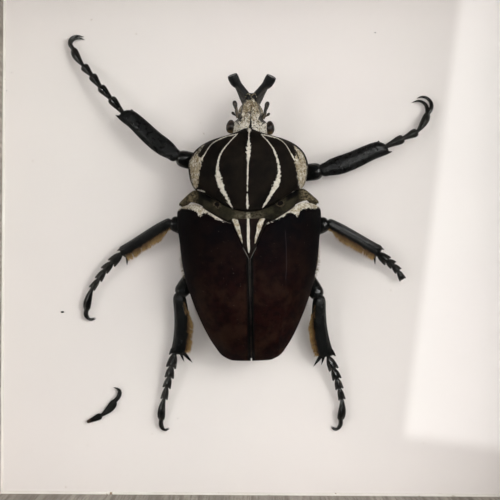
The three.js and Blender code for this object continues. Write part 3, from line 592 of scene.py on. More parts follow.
BLOOM_LEFT = [
    (-24.5, 13.4), (-23.4, 13.6), (-22, 14), (-20.2, 13.9), (-18.5, 13.5), (-17.1, 12.8), (-15.9, 11.3),
    (-15.2, 11.9), (-14.1, 12.2), (-12.7, 11.6), (-10.8, 10.4), (-7.2, 9.2), (-6, 8.8),
]
BLOOM_RIGHT = [
    (6, 8.6), (6.6, 8.9), (9.4, 9.9), (11.4, 10.9), (13.4, 11.8), (14.9, 11.5), (15.7, 10.7), (16.8, 12.8),
    (18.1, 13.2), (19.8, 13.4), (21.6, 13.4), (23.2, 13.7), (24.5, 13.6),
]
RIB_LINE = [(7.0, 11.5, -0.3), (5.2, 11.7, 0.1), (-3.4, 11.9, 0.12), (-9, 11.6, 0.1), (-11, 11.5, -0.3)]
wing_half = smooth_line(WING_HALF)
wing_crest = smooth_line(WING_CREST)
wing_rim = smooth_line(WING_RIM)
wing_front = smooth_line(WING_FRONT)
RIB = smooth_line([(-30, 9.0), (-26.5, 9.9), (-16.5, 11.3), (-3.4, 11.9), (8, 11.3)])


def dome(share, along):
    """Height of the domed back at a share of its half-width."""
    rim = wing_rim(along)
    return rim + (wing_crest(along) - rim) * np.maximum(0, 1 - share ** 2.4) ** 0.75


def scutellum_half(along):
    return np.clip((along - SCUTELLUM_TIP) / SCUTELLUM_LENGTH, 0, 1) ** 0.92 * SCUTELLUM_HALF


def plate(columns, rows, form, thickness, inside_out=False):
    """A plate of shell: a grid laid out by its form, given its thickness and rounded."""
    bpy.ops.object.select_all(action="DESELECT")
    bpy.ops.mesh.primitive_grid_add(x_subdivisions=columns, y_subdivisions=rows, size=1)
    piece = bpy.context.active_object
    move_points(piece, form)
    if inside_out:
        open_mesh(piece)
        bpy.ops.mesh.flip_normals()
        close_mesh()
    refine(piece, "SOLIDIFY", thickness=thickness, offset=-1.0)
    refine(piece, "SUBSURF", levels=1, render_levels=1)
    return piece


def wing_case(side, rib_height):
    def form(x, y, z):
        u = (x + 0.5) ** 0.9
        v = 0.5 - y
        back = wing_front(u) + (WING_END - wing_front(u)) * (1 - (1 - v) ** 1.4)
        inner = scutellum_half(back) + 0.12
        out = inner + (wing_half(back) - inner) * u
        rise = dome(u, np.minimum(back, 15.5))
        rise += 0.32 * np.exp(-((out - 0.75) / 0.4) ** 2) * (back < SCUTELLUM_TIP)
        rise -= 0.16 * np.exp(-((out - 1.7) / 0.35) ** 2) * np.clip((SCUTELLUM_TIP - back) / 4, 0, 1)
        rise += rib_height * np.exp(-((out - RIB(back)) / 0.5) ** 2) * np.clip((6 - back) / 6, 0, 1)
        rise += 0.6 * np.exp(-((out - 8.5) ** 2 + (back + 31) ** 2) / 9)
        rise += 0.5 * np.exp(-((out - 20) ** 2 + (back - 10) ** 2) / 10)
        rise -= 0.35 * np.clip(1 - v / 0.03, 0, 1) ** 2
        return np.stack([side * out, back, rise], -1)
    return plate(40, 64, form, 1.0, inside_out=side < 0)


maroon_shell, tree, shader = finish("maroon_wing_case", Specular_IOR_Level=0.03)
own, across, along = in_millimetres(tree, BODY)
rag = ragged(tree, own, 1.3)
mottle = cloud(tree, own, 0.16, 4.0, 0.6)
blotch = cloud(tree, own, 0.45, 3.0, 0.6)
grain = cloud(tree, own, 5.0, 3.0, 0.7)
rearward = spread(tree, along, 12.0, -20.0)
outward = spread(tree, calc(tree, "ABSOLUTE", across), 14.0, 23.0)
front_tone = tint(tree, spread(tree, mottle, 0.35, 0.65),
                  (0.0003, 0.0003, 0.0009, 1), (0.0026, 0.0008, 0.0009, 1))
red_tone = tint(tree, spread(tree, blotch, 0.35, 0.65),
                (0.0040, 0.0005, 0.0004, 1), (0.0092, 0.0014, 0.0010, 1))
rear_tone = tint(tree, spread(tree, mottle, 0.35, 0.8), red_tone, (0.0165, 0.0066, 0.0034, 1))
ground = tint(tree, rearward, front_tone, rear_tone)
ground = tint(tree, calc(tree, "MULTIPLY", outward, 0.75), ground, (0.0006, 0.0005, 0.0009, 1))
grain_tint = calc(tree, "MULTIPLY", spread(tree, grain, 0.55, 1.0, 0, 0.4), rearward)
ground = tint(tree, grain_tint, ground, (0.018, 0.0085, 0.005, 1))
specks = put(tree, "ShaderNodeTexNoise", {"Vector": own, "Scale": 1.7, "Detail": 2.0}).outputs["Fac"]
scratch = spread(tree, specks, 0.735, 0.76)
ground = tint(tree, calc(tree, "MULTIPLY", scratch, 0.35), ground, (0.16, 0.13, 0.10, 1))
off_suture = calc(tree, "ABSOLUTE", across)
black_edge = spread(tree, off_suture, 1.5, 0.9)
ground = tint(tree, calc(tree, "MULTIPLY", black_edge, 0.85), ground, (0.0012, 0.0012, 0.0014, 1))
hair_line = calc(tree, "MULTIPLY", spread(tree, off_suture, 0.42, 0.2), spread(tree, along, -17.0, -12.0))
from_tip = calc(tree, "MULTIPLY", calc(tree, "SUBTRACT", along, SCUTELLUM_TIP), 0.52)
tip_line = calc(tree, "SUBTRACT", off_suture, from_tip)
tip_line = calc(tree, "MULTIPLY", spread(tree, tip_line, 0.62, 0.3), spread(tree, along, 1.2, 0.2))
rib_line = calc(tree, "MULTIPLY", stripe(tree, along, across, 0.0, RIB_LINE, 0.16), 0.45)
ground = tint(tree, rib_line, ground, (0.040, 0.030, 0.034, 1))
tip_line = calc(tree, "MULTIPLY", tip_line, spread(tree, along, -4.0, -3.0))
pale_line = calc(tree, "MULTIPLY", calc(tree, "MAXIMUM", hair_line, tip_line), 0.7)
ground = tint(tree, pale_line, ground, (0.26, 0.25, 0.22, 1))
bloom_left = calc(tree, "SUBTRACT", calc(tree, "ADD", along, rag), follow(tree, across, BLOOM_LEFT))
bloom_right = calc(tree, "SUBTRACT", calc(tree, "ADD", along, rag), follow(tree, across, BLOOM_RIGHT))
on_left = calc(tree, "LESS_THAN", across, 0.0)
depth = put(tree, "ShaderNodeMix", {0: on_left, 2: bloom_right, 3: bloom_left}).outputs[0]
bloom_mask = spread(tree, depth, -0.1, 0.1)
tan = spread(tree, off_suture, 5.0, 18.0, 0.0, 0.5)
inputs = {"Vector": own, "Base": ground, "Mask": bloom_mask, "Tan": tan}
bloom = put(tree, "ShaderNodeGroup", inputs, node_tree=chalk_bloom)
satin = spread(tree, grain, 0.1, 0.9, 0.55, 0.75)
satin = calc(tree, "SUBTRACT", satin, calc(tree, "MULTIPLY", black_edge, 0.18))
height = calc(tree, "ADD", grain, bloom.outputs["Height"])
dress(tree, shader, bloom.outputs["Color"], satin, height, 0.22, 0.00012)
for name, side, rib_height in (("left", -1, 0.08), ("right", 1, 0.28)):
    wing = wing_case(side, rib_height)
    settle(wing, BODY)
    hand_in(wing, f"wing_case_{name}", maroon_shell, "maroon_shell", f"elytron_{name}")


# Scutellum: the small triangular shield between the wing cases, brown velvet with three white stripes.
# A separate plate of shell that lies flush with the wing cases and ends in a point on the suture.
SCUTELLUM_STRIPE = [
    (12.3, -0.26, 0.2), (9.7, -0.3, 0.34), (7.1, -0.32, 0.42), (3.2, -0.32, 0.45), (0.6, -0.26, 0.34),
    (-0.8, -0.24, 0.1), (-1.4, -0.24, -0.8),
]
WEDGE_LEFT = [
    (10.3, -4.9, 0.1), (9.6, -4.6, 0.85), (8.5, -4.1, 0.85), (6.2, -3.5, 0.6), (3.9, -2.78, 0.36),
    (2.3, -2.35, 0.1), (1.8, -2.2, -0.8),
]
WEDGE_RIGHT = [
    (10.3, 4.5, 0.1), (9.6, 4.1, 0.85), (8.4, 3.55, 0.85), (6.1, 2.92, 0.6), (3.9, 2.2, 0.36),
    (2.2, 1.8, 0.1), (1.7, 1.65, -0.8),
]
shield_velvet, tree, shader = finish("shield_velvet", Specular_IOR_Level=0.06)
own, across, along = in_millimetres(tree, BODY)
rag = ragged(tree, own, 0.4)
middle_stripe = stripe(tree, along, across, rag, SCUTELLUM_STRIPE)
wedges = either(tree, [stripe(tree, along, across, rag, line) for line in (WEDGE_LEFT, WEDGE_RIGHT)])
stripes = calc(tree, "MAXIMUM", middle_stripe, wedges)
velvet_tones = (0.0045, 0.0024, 0.0018, 1), (0.0135, 0.0068, 0.0048, 1)
bloom_over_velvet(tree, shader, own, stripes, spread(tree, wedges, 0, 1, 0.0, 0.5), *velvet_tones)


def shield_form(x, y, z):
    along = SCUTELLUM_TIP + (SCUTELLUM_LENGTH + 0.3) * (y + 0.5)
    half = np.maximum(scutellum_half(along) - 0.05, 0.12)
    out = 2 * x * half
    lift = dome(np.abs(out) / wing_half(along), along) + 0.12 * (1 - (2 * x) ** 2)
    return np.stack([out, along, lift], -1)


scutellum = plate(16, 30, shield_form, 0.9)
settle(scutellum, BODY)
hand_in(scutellum, "scutellum_shield", shield_velvet, "striped_velvet", "scutellum")


# Shoulder band: the grey-olive velvet collar between pronotum and wing cases, with a lobe at each shoulder.
# It dips under the pronotum in front and has two small dark pits.
BAND_REACH = 23.6
BAND_CORNER = 20.2
BAND_SHOULDER = 18.2
BAND_PIT = (10.3, 15.05)


def distance_to(tree, across, along, spot):
    flat = put(tree, "ShaderNodeCombineXYZ", {"X": across, "Y": along}).outputs[0]
    return put(tree, "ShaderNodeVectorMath", {0: flat, 1: (*spot, 0)}, operation="DISTANCE").outputs["Value"]


grey_velvet, tree, shader = finish("grey_olive_velvet", Specular_IOR_Level=0.05)
own, across, along = in_millimetres(tree, BODY)
inputs = {"Vector": own, "Dark": (0.0045, 0.0038, 0.0022, 1), "Light": (0.036, 0.031, 0.018, 1)}
velvet = put(tree, "ShaderNodeGroup", inputs, node_tree=velvet_nap)
shade = velvet.outputs["Color"]
sideways = calc(tree, "ABSOLUTE", across)
dusty = spread(tree, cloud(tree, own, 1.3, 4.0, 0.65), 0.2, 0.85)
middle = calc(tree, "MULTIPLY", spread(tree, sideways, 6.5, 2.5), dusty)
shade = tint(tree, calc(tree, "MULTIPLY", middle, 0.8), shade, (0.105, 0.090, 0.060, 1))
lobe = calc(tree, "MULTIPLY", spread(tree, sideways, 16.0, 18.5), dusty)
shade = tint(tree, calc(tree, "MULTIPLY", lobe, 0.85), shade, (0.19, 0.15, 0.09, 1))
behind_shield = calc(tree, "SUBTRACT", along, calc(tree, "MULTIPLY", sideways, 0.55))
# Painted shade: a near-black strip at the front of the band, between pit and lobe, where the pronotum shades
# it.
shade_beside_pronotum = calc(tree, "MULTIPLY", spread(tree, sideways, 11.6, 12.8), spread(tree, sideways, 17.2, 15.6))
shade_beside_pronotum = calc(tree, "MULTIPLY", shade_beside_pronotum, spread(tree, behind_shield, 8.3, 9.3))
shade = tint(tree, shade_beside_pronotum, shade, (0.0010, 0.0009, 0.0006, 1))
off_middle = calc(tree, "ABSOLUTE", calc(tree, "ADD", across, 0.3))
median_tuft = calc(tree, "MULTIPLY", spread(tree, off_middle, 1.0, 0.2), spread(tree, along, 13.0, 11.8))
shade = tint(tree, calc(tree, "MULTIPLY", median_tuft, dusty), shade, (0.42, 0.38, 0.29, 1))
pit = calc(tree, "ADD", distance_to(tree, sideways, along, BAND_PIT), ragged(tree, own, 0.9))
shade = tint(tree, calc(tree, "MULTIPLY", spread(tree, pit, 1.35, 1.1), 0.7), shade, (0.085, 0.066, 0.042, 1))
shade = tint(tree, spread(tree, pit, 1.0, 0.8), shade, (0.0025, 0.0018, 0.0014, 1))
roughness = spread(tree, velvet.outputs["Nap"], 0.3, 0.7, 0.7, 0.9)
dress(tree, shader, shade, roughness, velvet.outputs["Nap"], 0.35, 0.00015)


def band_form(x, y, z):
    out = 2 * x * BAND_REACH
    away = np.abs(out)
    rear = PRONOTUM_RINGS[-1]
    bow = (1 - np.minimum(1, away / rear[2]) ** 2) ** BOW
    shoulder = np.clip((away - BAND_SHOULDER) / (BAND_REACH - BAND_SHOULDER), 0, 1)
    front = BAND_CORNER + (rear[1] - BAND_CORNER) * bow - 4.5 * shoulder ** 1.15
    behind = np.where(away > WING_INNER, wing_front((away - WING_INNER) / WING_WIDTH), 9.9) + 0.15
    behind = np.minimum(behind, front - 0.4)
    v = 0.5 - y
    along = front + (behind - front) * v
    rise = dome(np.minimum(away / (WING_INNER + WING_WIDTH), 1), np.minimum(along, 14.0)) - 0.15
    rise += 0.45 * np.sin(v * math.pi) - 0.8 * np.clip(1 - v / 0.2, 0, 1) ** 2
    rise += 0.9 * np.exp(-((away - 20.3) / 2.0) ** 2) * np.sin(v * math.pi)
    rise -= 0.4 * np.exp(-((away - BAND_PIT[0]) ** 2 + (along - BAND_PIT[1]) ** 2) / 0.5)
    return np.stack([out, along, rise], -1)


band = plate(72, 12, band_form, 2.6)
settle(band, BODY)
hand_in(band, "shoulder_band", grey_velvet, "grey_velvet", "mesothorax")


# Head: a chalk-white face with a black median line, and the male's black horn that forks into two blunt arms.
# Grown in one piece with the horn; the chalk is a bloom that is worn through in specks, with painted shade
# along the creases of the face.
HEAD = SPECIMEN @ Matrix.Translation((0.1, 41, 0)) @ Matrix.Rotation(math.radians(-1.8), 4, "Z")
HEAD_RINGS = [
    (9.4, 9.9, 1.6, 14.2, 1.2, 1.2), (8.0, 8.3, 2.5, 14, 2.0, 1.7), (6.6, 6.8, 3.6, 13.9, 2.5, 2.1),
    (5.2, 5.4, 4.2, 13.8, 2.9, 2.4), (3.9, 4.1, 4.3, 13.8, 3.2, 2.6), (2.8, 3.1, 4.25, 13.8, 3.5, 2.8),
    (1.5, 1.8, 5.5, 13.7, 3.7, 3.1), (-1.0, -0.4, 5.85, 13.7, 4.1, 3.4), (-3.4, -2.8, 5.5, 13.7, 4.0, 3.4),
]
HORN_ARM = [
    (0.9, 7.6, 14.1, 1.3), (1.4, 9.9, 14.6, 1.35), (2.9, 12.0, 15.4, 1.2), (4.3, 13.4, 16.1, 1.35),
    (5.3, 14.4, 16.7, 1.75), (6.05, 15.7, 17.2, 1.85), (6.5, 16.7, 17.6, 1.7),
]
HORN_WEB = [(2.3, 7.2, 13.9, 0.5), (3.2, 9.6, 14.4, 0.75), (4.5, 12.4, 15.4, 0.75), (5.4, 13.7, 16.1, 0.5)]
HORN_FORK = [(-1.7, 10.5, 14.6, 0.8), (0, 10.6, 14.5, 0.75), (1.7, 10.5, 14.6, 0.8)]
FORK_PITS = [(-1.25, 10.1), (-0.3, 9.4), (0.7, 9.9)]
NOTCH = (4.1, 2.8)
ARM_LINE = [(7, 0.8), (7.6, 0.9), (9.9, 1.4), (12.1, 3.0), (14, 4.6), (15, 5.6)]
FACE_MEDIAN = [
    (-2.0, 0.05, 0.8), (-0.2, 0.05, 0.5), (1.0, 0.05, 0.3), (2.2, 0.05, 0.16), (4.0, 0.06, 0.12),
    (5.6, 0.1, 0.13), (6.7, 0.12, 0.09), (7.4, 0.15, -0.4),
]
CHEEK_LINE = [
    (8.6, 1.9, -0.4), (7.9, 2.2, 0.2), (6.2, 2.9, 0.26), (4.4, 3.2, 0.24), (3.2, 3.7, 0.3),
    (2.6, 3.9, -0.4),
]
EYE_LINE = [(2.4, 5.3, -0.4), (2.0, 5.1, 0.2), (1.2, 4.4, 0.24), (0.3, 3.6, 0.16), (-0.1, 3.4, -0.4)]
FACE_CRACK = [(-2.1, 4.5, -0.4), (-1.8, 4.55, 0.1), (-0.2, 4.8, 0.13), (1.0, 5.4, 0.1), (1.3, 5.5, -0.4)]
FORK_EDGE = [
    (-2.2, 9.6, -0.4), (-1.7, 10.0, 0.16), (-1.0, 10.9, 0.18), (0, 10.5, 0.16), (1.0, 10.9, 0.18),
    (1.7, 10.0, 0.16), (2.2, 9.6, -0.4),
]


def tapered_rod(points, sides=4):
    """A round rod along a smooth curve through (x, y, z, radius) points."""
    bpy.ops.object.select_all(action="DESELECT")
    bpy.ops.curve.primitive_bezier_curve_add()
    rod = bpy.context.active_object
    rod.data.bevel_depth = 1
    rod.data.bevel_resolution = sides
    rod.data.resolution_u = 5
    rod.data.use_fill_caps = True
    line = rod.data.splines[0]
    line.bezier_points.add(len(points) - 2)
    for knot, (x, y, z, radius) in zip(line.bezier_points, points):
        knot.co = (x, y, z)
        knot.radius = radius
        knot.handle_left_type = "AUTO"
        knot.handle_right_type = "AUTO"
    bpy.ops.object.convert(target="MESH")
    rod = bpy.context.active_object
    turn_faces_out(rod)
    return rod


def joined(pieces):
    bpy.ops.object.select_all(action="DESELECT")
    for piece in pieces:
        piece.select_set(True)
    bpy.context.view_layer.objects.active = pieces[0]
    if len(pieces) > 1:
        bpy.ops.object.join()
    return bpy.context.active_object


def on_side(points, side):
    return [(side * x, y, z, radius) for x, y, z, radius in points]


def face_form(x, y, z):
    """Work the ridges, the median groove, the antenna notches and the pits under the fork into the face."""
    away = np.abs(x)
    upper = np.clip((z - 14.2) / 0.8, 0, 1) * np.clip((9.6 - y) / 0.8, 0, 1)
    lift = 0.4 * np.exp(-((away - 2.75) / 0.5) ** 2) * np.clip((y - 3.2) / 1.0, 0, 1)
    lift -= 0.35 * np.exp(-((away - 1.5) / 0.6) ** 2) * np.clip((y - 2.6) / 1.5, 0, 1)
    lift -= 0.45 * np.exp(-(x / 0.25) ** 2) * np.clip((7.6 - y) / 1.5, 0, 1)
    lift -= 1.1 * np.exp(-((away - NOTCH[0]) ** 2 + (y - NOTCH[1]) ** 2) / 0.5)
    lift += 0.16 * np.sin(3.1 * x + 1.3 * y) * np.sin(2.3 * y - 1.7 * x) + 0.1 * np.sin(5.3 * x - 4.1 * y)
    pits = sum(np.exp(-((x - px) ** 2 + (y - py) ** 2) / 0.1) for px, py in FORK_PITS)
    return np.stack([x, y, z + lift * upper - 0.7 * pits * np.clip((z - 14) / 0.6, 0, 1)], -1)


parts = [ringed_body(HEAD_RINGS, 40, 30)]
for side in (-1, 1):
    parts.append(tapered_rod(on_side(HORN_ARM, side), 6))
    parts.append(tapered_rod(on_side(HORN_WEB, side), 4))
parts.append(tapered_rod(HORN_FORK, 4))
head = joined(parts)
refine(head, "REMESH", mode="VOXEL", voxel_size=0.14)
refine(head, "SMOOTH", factor=0.5, iterations=5)
move_points(head, face_form)
refine(head, "SMOOTH", factor=0.5, iterations=2)
chalk_face, tree, shader = finish("chalk_face", Specular_IOR_Level=0.2)
own, across, along = in_millimetres(tree, HEAD)
sideways = calc(tree, "ABSOLUTE", across)
wear = cloud(tree, own, 0.9, 3.0, 0.6)
speck = cloud(tree, own, 2.2, 2.0, 0.6)
black = tint(tree, cloud(tree, own, 2.5, 3.0), (0.002, 0.0022, 0.0025, 1), (0.009, 0.0095, 0.010, 1))
beyond_arm = calc(tree, "SUBTRACT", sideways, follow(tree, along, ARM_LINE))
web = calc(tree, "MULTIPLY", spread(tree, beyond_arm, 0.35, 0.95), spread(tree, along, 13.6, 12.4))
black = tint(tree, calc(tree, "MULTIPLY", web, 0.85), black, (0.052, 0.047, 0.042, 1))
edge_of_chalk = calc(tree, "ADD", along, calc(tree, "MULTIPLY", sideways, 0.95))
uneven = calc(tree, "MULTIPLY", calc(tree, "SUBTRACT", wear, 0.5), 1.6)
edge_of_chalk = calc(tree, "ADD", edge_of_chalk, uneven)
face = spread(tree, edge_of_chalk, 10.4, 9.5)
lower_face = spread(tree, along, 4.4, 3.2)
face = calc(tree, "MAXIMUM", face, lower_face)
rag = ragged(tree, own, 0.6)
fork_line = stripe(tree, across, along, rag, FORK_EDGE)
face = calc(tree, "MAXIMUM", face, calc(tree, "MULTIPLY", fork_line, 0.85))
pits = distance_to(tree, across, along, FORK_PITS[0])
for spot in FORK_PITS[1:]:
    pits = calc(tree, "MINIMUM", pits, distance_to(tree, across, along, spot))
notch = calc(tree, "ADD", distance_to(tree, sideways, along, NOTCH), ragged(tree, own, 1.4))
# Painted shade: the cheek and eye lines darken the chalk along the creases of the face; the crack line and
# the specks are worn chalk.
crease_shade_and_wear = either(tree, [
    stripe(tree, along, sideways, rag, CHEEK_LINE), stripe(tree, along, sideways, rag, EYE_LINE),
    stripe(tree, across, along, rag, FACE_CRACK), spread(tree, speck, 0.58, 0.74),
])
# The black shell shows where the chalk is bare, and as painted shade along the creases.
bare_and_shaded = either(tree, [
    stripe(tree, along, across, rag, FACE_MEDIAN), spread(tree, notch, 1.5, 1.15),
    spread(tree, pits, 0.6, 0.42),
    calc(tree, "MULTIPLY", crease_shade_and_wear, 0.85),
])
face = calc(tree, "MULTIPLY", face, calc(tree, "SUBTRACT", 1.0, bare_and_shaded))
face_tan = spread(tree, calc(tree, "ADD", along, calc(tree, "MULTIPLY", wear, 4.0)), 2.0, 9.0, 0.15, 0.85)
inputs = {"Vector": own, "Base": black, "Mask": face, "Tan": face_tan}
bloom = put(tree, "ShaderNodeGroup", inputs, node_tree=chalk_bloom)
height = calc(tree, "ADD", wear, bloom.outputs["Height"])
dress(tree, shader, bloom.outputs["Color"], spread(tree, face, 0, 1, 0.36, 0.9), height, 0.5, 0.0003)
settle(head, HEAD)
hand_in(head, "head_and_horn", chalk_face, "chalk", "head")


# Eyes: polished brown domes at the sides of the head, with a paler lower edge and a fine net of facets.
# They sit half in the head, behind the roots of the antennae.
EYE_SIZE = (1.6, 2.35, 1.9)
EYE_SPOT = (6.5, 0.0, 13.6)
eye_brown, tree, shader = finish("brown_eye", Coat_Weight=0.2, Coat_Roughness=0.12, Specular_IOR_Level=0.3)
own, across, along = in_millimetres(tree, HEAD)
facets = put(tree, "ShaderNodeTexVoronoi", {"Vector": own, "Scale": 7.0}).outputs["Distance"]
iris = tint(tree, spread(tree, cloud(tree, own, 0.9, 3.0), 0.35, 0.65),
            (0.006, 0.003, 0.002, 1), (0.038, 0.019, 0.010, 1))
iris = tint(tree, spread(tree, facets, 0.2, 0.6, 0, 0.5), iris, (0.005, 0.003, 0.002, 1))
lower_edge = calc(tree, "MULTIPLY", spread(tree, along, -1.0, -2.0), 0.7)
colour = tint(tree, lower_edge, iris, (0.13, 0.09, 0.035, 1))
roughness = spread(tree, facets, 0.0, 0.6, 0.25, 0.42)
dress(tree, shader, colour, roughness, facets, 0.3, 0.00006)
for name, side in (("left", -1), ("right", 1)):
    bpy.ops.object.select_all(action="DESELECT")
    bpy.ops.mesh.primitive_uv_sphere_add(segments=32, ring_count=20, radius=1)
    eye = bpy.context.active_object
    open_mesh(eye)
    bpy.ops.transform.resize(value=EYE_SIZE, center_override=(0, 0, 0))
    close_mesh()
    spot = np.array([side * EYE_SPOT[0], EYE_SPOT[1], EYE_SPOT[2]])
    move_points(eye, lambda a, b, c: np.stack([a * (1 - 0.07 * b), b, c * (1 - 0.03 * b ** 2)], -1) + spot)
    settle(eye, HEAD)
    hand_in(eye, f"eye_dome_{name}", eye_brown, "eye", f"eye_{name}")


# Antennae: short dark brown stalks that rise from the notch before each eye and end in a folded, leafy club.
# The first joint is a round knob to the outside of the stalk.
ANTENNA_STEM = [
    (4.2, 2.8, 15.0, 0.5), (4.65, 4.2, 15.2, 0.54), (4.8, 5.4, 15.3, 0.52), (4.85, 6.8, 15.3, 0.36),
    (4.95, 7.8, 15.4, 0.34), (5.3, 8.2, 15.5, 0.34),
]
ANTENNA_KNOB = [
    (4.5, 3.3, 15.0, 0.2), (5.3, 3.8, 15.1, 0.24), (5.8, 4.25, 15.1, 0.5), (6.1, 4.6, 15.1, 0.44),
    (6.25, 4.85, 15.1, 0.15),
]
ANTENNA_CLUB = [
    [(5.1, 8.3, 15.5, 0.3), (5.6, 8.0, 15.6, 0.52), (5.55, 7.2, 15.6, 0.5),
     (5.25, 6.2, 15.5, 0.4), (5.0, 5.3, 15.4, 0.2)],
    [(5.1, 8.1, 15.1, 0.2), (5.3, 7.5, 15.2, 0.42), (5.15, 6.7, 15.2, 0.42), (5.0, 6.0, 15.1, 0.12)],
]

shell_pits, given, result = new_group(
    "shell_pits", [("Vector", "Vector"), ("Dark", "Color"), ("Light", "Color")],
    [("Color", "Color"), ("Height", "Float"), ("Wear", "Float")])
wear = cloud(shell_pits, given["Vector"], 700.0, 3.0, 0.6)
inputs = {"Vector": given["Vector"], "Scale": 1250.0}
pit = put(shell_pits, "ShaderNodeTexVoronoi", inputs).outputs["Distance"]
worn = spread(shell_pits, wear, 0.35, 0.7)
shell_pits.links.new(tint(shell_pits, worn, given["Dark"], given["Light"]), result["Color"])
shell_pits.links.new(spread(shell_pits, pit, 0.05, 0.4), result["Height"])
shell_pits.links.new(wear, result["Wear"])


def dark_shell(name, sleek, matt, dark, light, depth, coat, shine):
    """Dark shell: roughness where sleek and where worn, two colours, depth of pits, clear coat and shine."""
    material, tree, shader = finish(name, Specular_IOR_Level=shine, Coat_Roughness=0.08)
    place = on_object(tree)
    pits = put(tree, "ShaderNodeGroup", {"Vector": place, "Dark": dark, "Light": light}, node_tree=shell_pits)
    wear = pits.outputs["Wear"]
    tree.links.new(spread(tree, wear, 0, 1, coat, coat * 0.4), shader.inputs["Coat Weight"])
    roughness = spread(tree, wear, 0, 1, sleek, matt)
    dress(tree, shader, pits.outputs["Color"], roughness, pits.outputs["Height"], depth, 0.0001)
    return material


BLACK, SOFT_BLACK = (0.0010, 0.0012, 0.0012, 1), (0.0032, 0.0037, 0.0036, 1)
glossy_black = dark_shell("glossy_black_shell", 0.05, 0.14, BLACK, SOFT_BLACK, 0.06, 0.9, 0.45)
satin_black = dark_shell("satin_black_shell", 0.22, 0.46, BLACK, SOFT_BLACK, 1.0, 0.05, 0.22)
ridged_black = dark_shell("ridged_black_shell", 0.14, 0.28, BLACK, SOFT_BLACK, 0.3, 0.15, 0.25)
antenna_brown = dark_shell("brown_antenna_shell", 0.32, 0.5, (0.007, 0.005, 0.0035, 1),
                           (0.060, 0.043, 0.026, 1), 0.3, 0.1, 0.3)
for name, side in (("left", -1), ("right", 1)):
    parts = [tapered_rod(on_side(ANTENNA_STEM, side), 3), tapered_rod(on_side(ANTENNA_KNOB, side), 3)]
    parts += [tapered_rod(on_side(leaf, side), 3) for leaf in ANTENNA_CLUB]
    antenna = joined(parts)
    settle(antenna, HEAD)
    hand_in(antenna, f"antenna_club_{name}", antenna_brown, "black_shell", f"antenna_{name}")


# Legs: six, each a femur out of the body, a tibia with spurs, and a tarsus of flared joints with claws.
# Black shell throughout; the front tibiae are broad and granular, the others ridged and fringed with hair.
# The right middle leg has lost its last joint and claws.
LEGS = {
    "front_left": {
        "hip": (-7, 27, 5.4), "knee": (-24.4, 31.2, 10.4),
        "ankle": (-43, 46.4, 8), "heel": (-43.4, 46.9, 7.9),
        "toes": [(-47.3, 51.5, 7), (-51, 55.6, 6), (-54, 59.6, 5), (-57, 63, 4), (-60.7, 69, 2.6)],
        "claws": [[(-61.9, 71.4, 2.2), (-60.2, 73.5, 1.6), (-57.1, 73.4, 1)],
                  [(-61.6, 71.1, 1.9), (-59.7, 72.9, 1.3), (-56.9, 72.4, 0.8)]],
    },
    "front_right": {
        "hip": (7, 25, 5.4), "knee": (24, 26.6, 10.4),
        "ankle": (46, 34.8, 8), "heel": (46.1, 35.1, 7.9),
        "toes": [(52.1, 37.95, 6.5), (57, 40.3, 5), (61.0, 46.7, 3)],
        "claws": [[(62.3, 49.3, 2.6), (61.4, 51.7, 2), (59.3, 52.7, 1.4), (57.4, 52.2, 1)],
                  [(60.8, 48.6, 2.3), (60.2, 50.2, 1.6), (58.2, 51.3, 1.2), (55.7, 50.8, 0.8)]],
    },
    "middle_left": {
        "hip": (-9, 2.5, 4.8), "knee": (-26.8, 9.45, 8.8),
        "ankle": (-43.7, -1.0, 5.4), "heel": (-43.9, -1.3, 5.4),
        "toes": [(-47.0, -4.2, 5), (-49.6, -6.8, 4.5), (-51.7, -9.9, 4),
                 (-54, -13, 3.4), (-56.2, -20.6, 2)],
        "claws": [[(-56.5, -22.3, 1.7), (-55.4, -23.7, 1.3), (-53.2, -23.3, 1)],
                  [(-56.2, -22.6, 1.3), (-55, -24, 0.9), (-53, -23.7, 0.7)]],
    },
    "middle_right": {
        "hip": (9, 2.5, 4.8), "knee": (26.4, 9.2, 8.8),
        "ankle": (44.2, -0.7, 5.4), "heel": (43.6, -1.2, 5.4),
        "toes": [(46.7, -3.6, 5), (48.8, -5.1, 4.5), (50.6, -7.1, 4), (52.2, -9.9, 3.4)],
        "claws": [],
    },
    "hind_left": {
        "hip": (-14, -0.5, 4.4), "knee": (-24, -15.2, 7.4),
        "ankle": (-24.7, -35.4, 5), "heel": (-25.8, -35.6, 5),
        "toes": [(-26.9, -39.8, 4.5), (-27.6, -43.4, 4), (-28.5, -46.9, 3.4),
                 (-29.4, -50.8, 2.8), (-30.5, -58.4, 2)],
        "claws": [[(-30.7, -60.2, 1.7), (-29.6, -61.8, 1.3), (-27.9, -61.2, 1)],
                  [(-30.4, -60.4, 1.3), (-29.3, -62, 0.9), (-27.7, -61.6, 0.7)]],
    },
    "hind_right": {
        "hip": (14, -0.5, 4.4), "knee": (23.4, -16, 7.4),
        "ankle": (26.3, -36.2, 5), "heel": (26.8, -36.6, 5),
        "toes": [(28.5, -40.5, 4.5), (29.7, -43.9, 4), (30.6, -47.3, 3.4),
                 (31.5, -51, 2.8), (31.1, -58.4, 2)],
        "claws": [[(31.1, -60.2, 1.7), (29.8, -61.6, 1.3), (28, -60.7, 1)],
                  [(30.9, -60.4, 1.3), (29.5, -61.9, 0.9), (27.9, -61.2, 0.7)]],
    },
}
FEMUR = {"front": (3.0, 2.2), "middle": (2.8, 1.9), "hind": (2.7, 2.0)}
FEMUR_SHAPE = [(0, 0.6), (0.15, 1), (0.6, 1), (0.8, 1.02), (0.9, 1), (0.96, 0.86), (1, 0.55)]
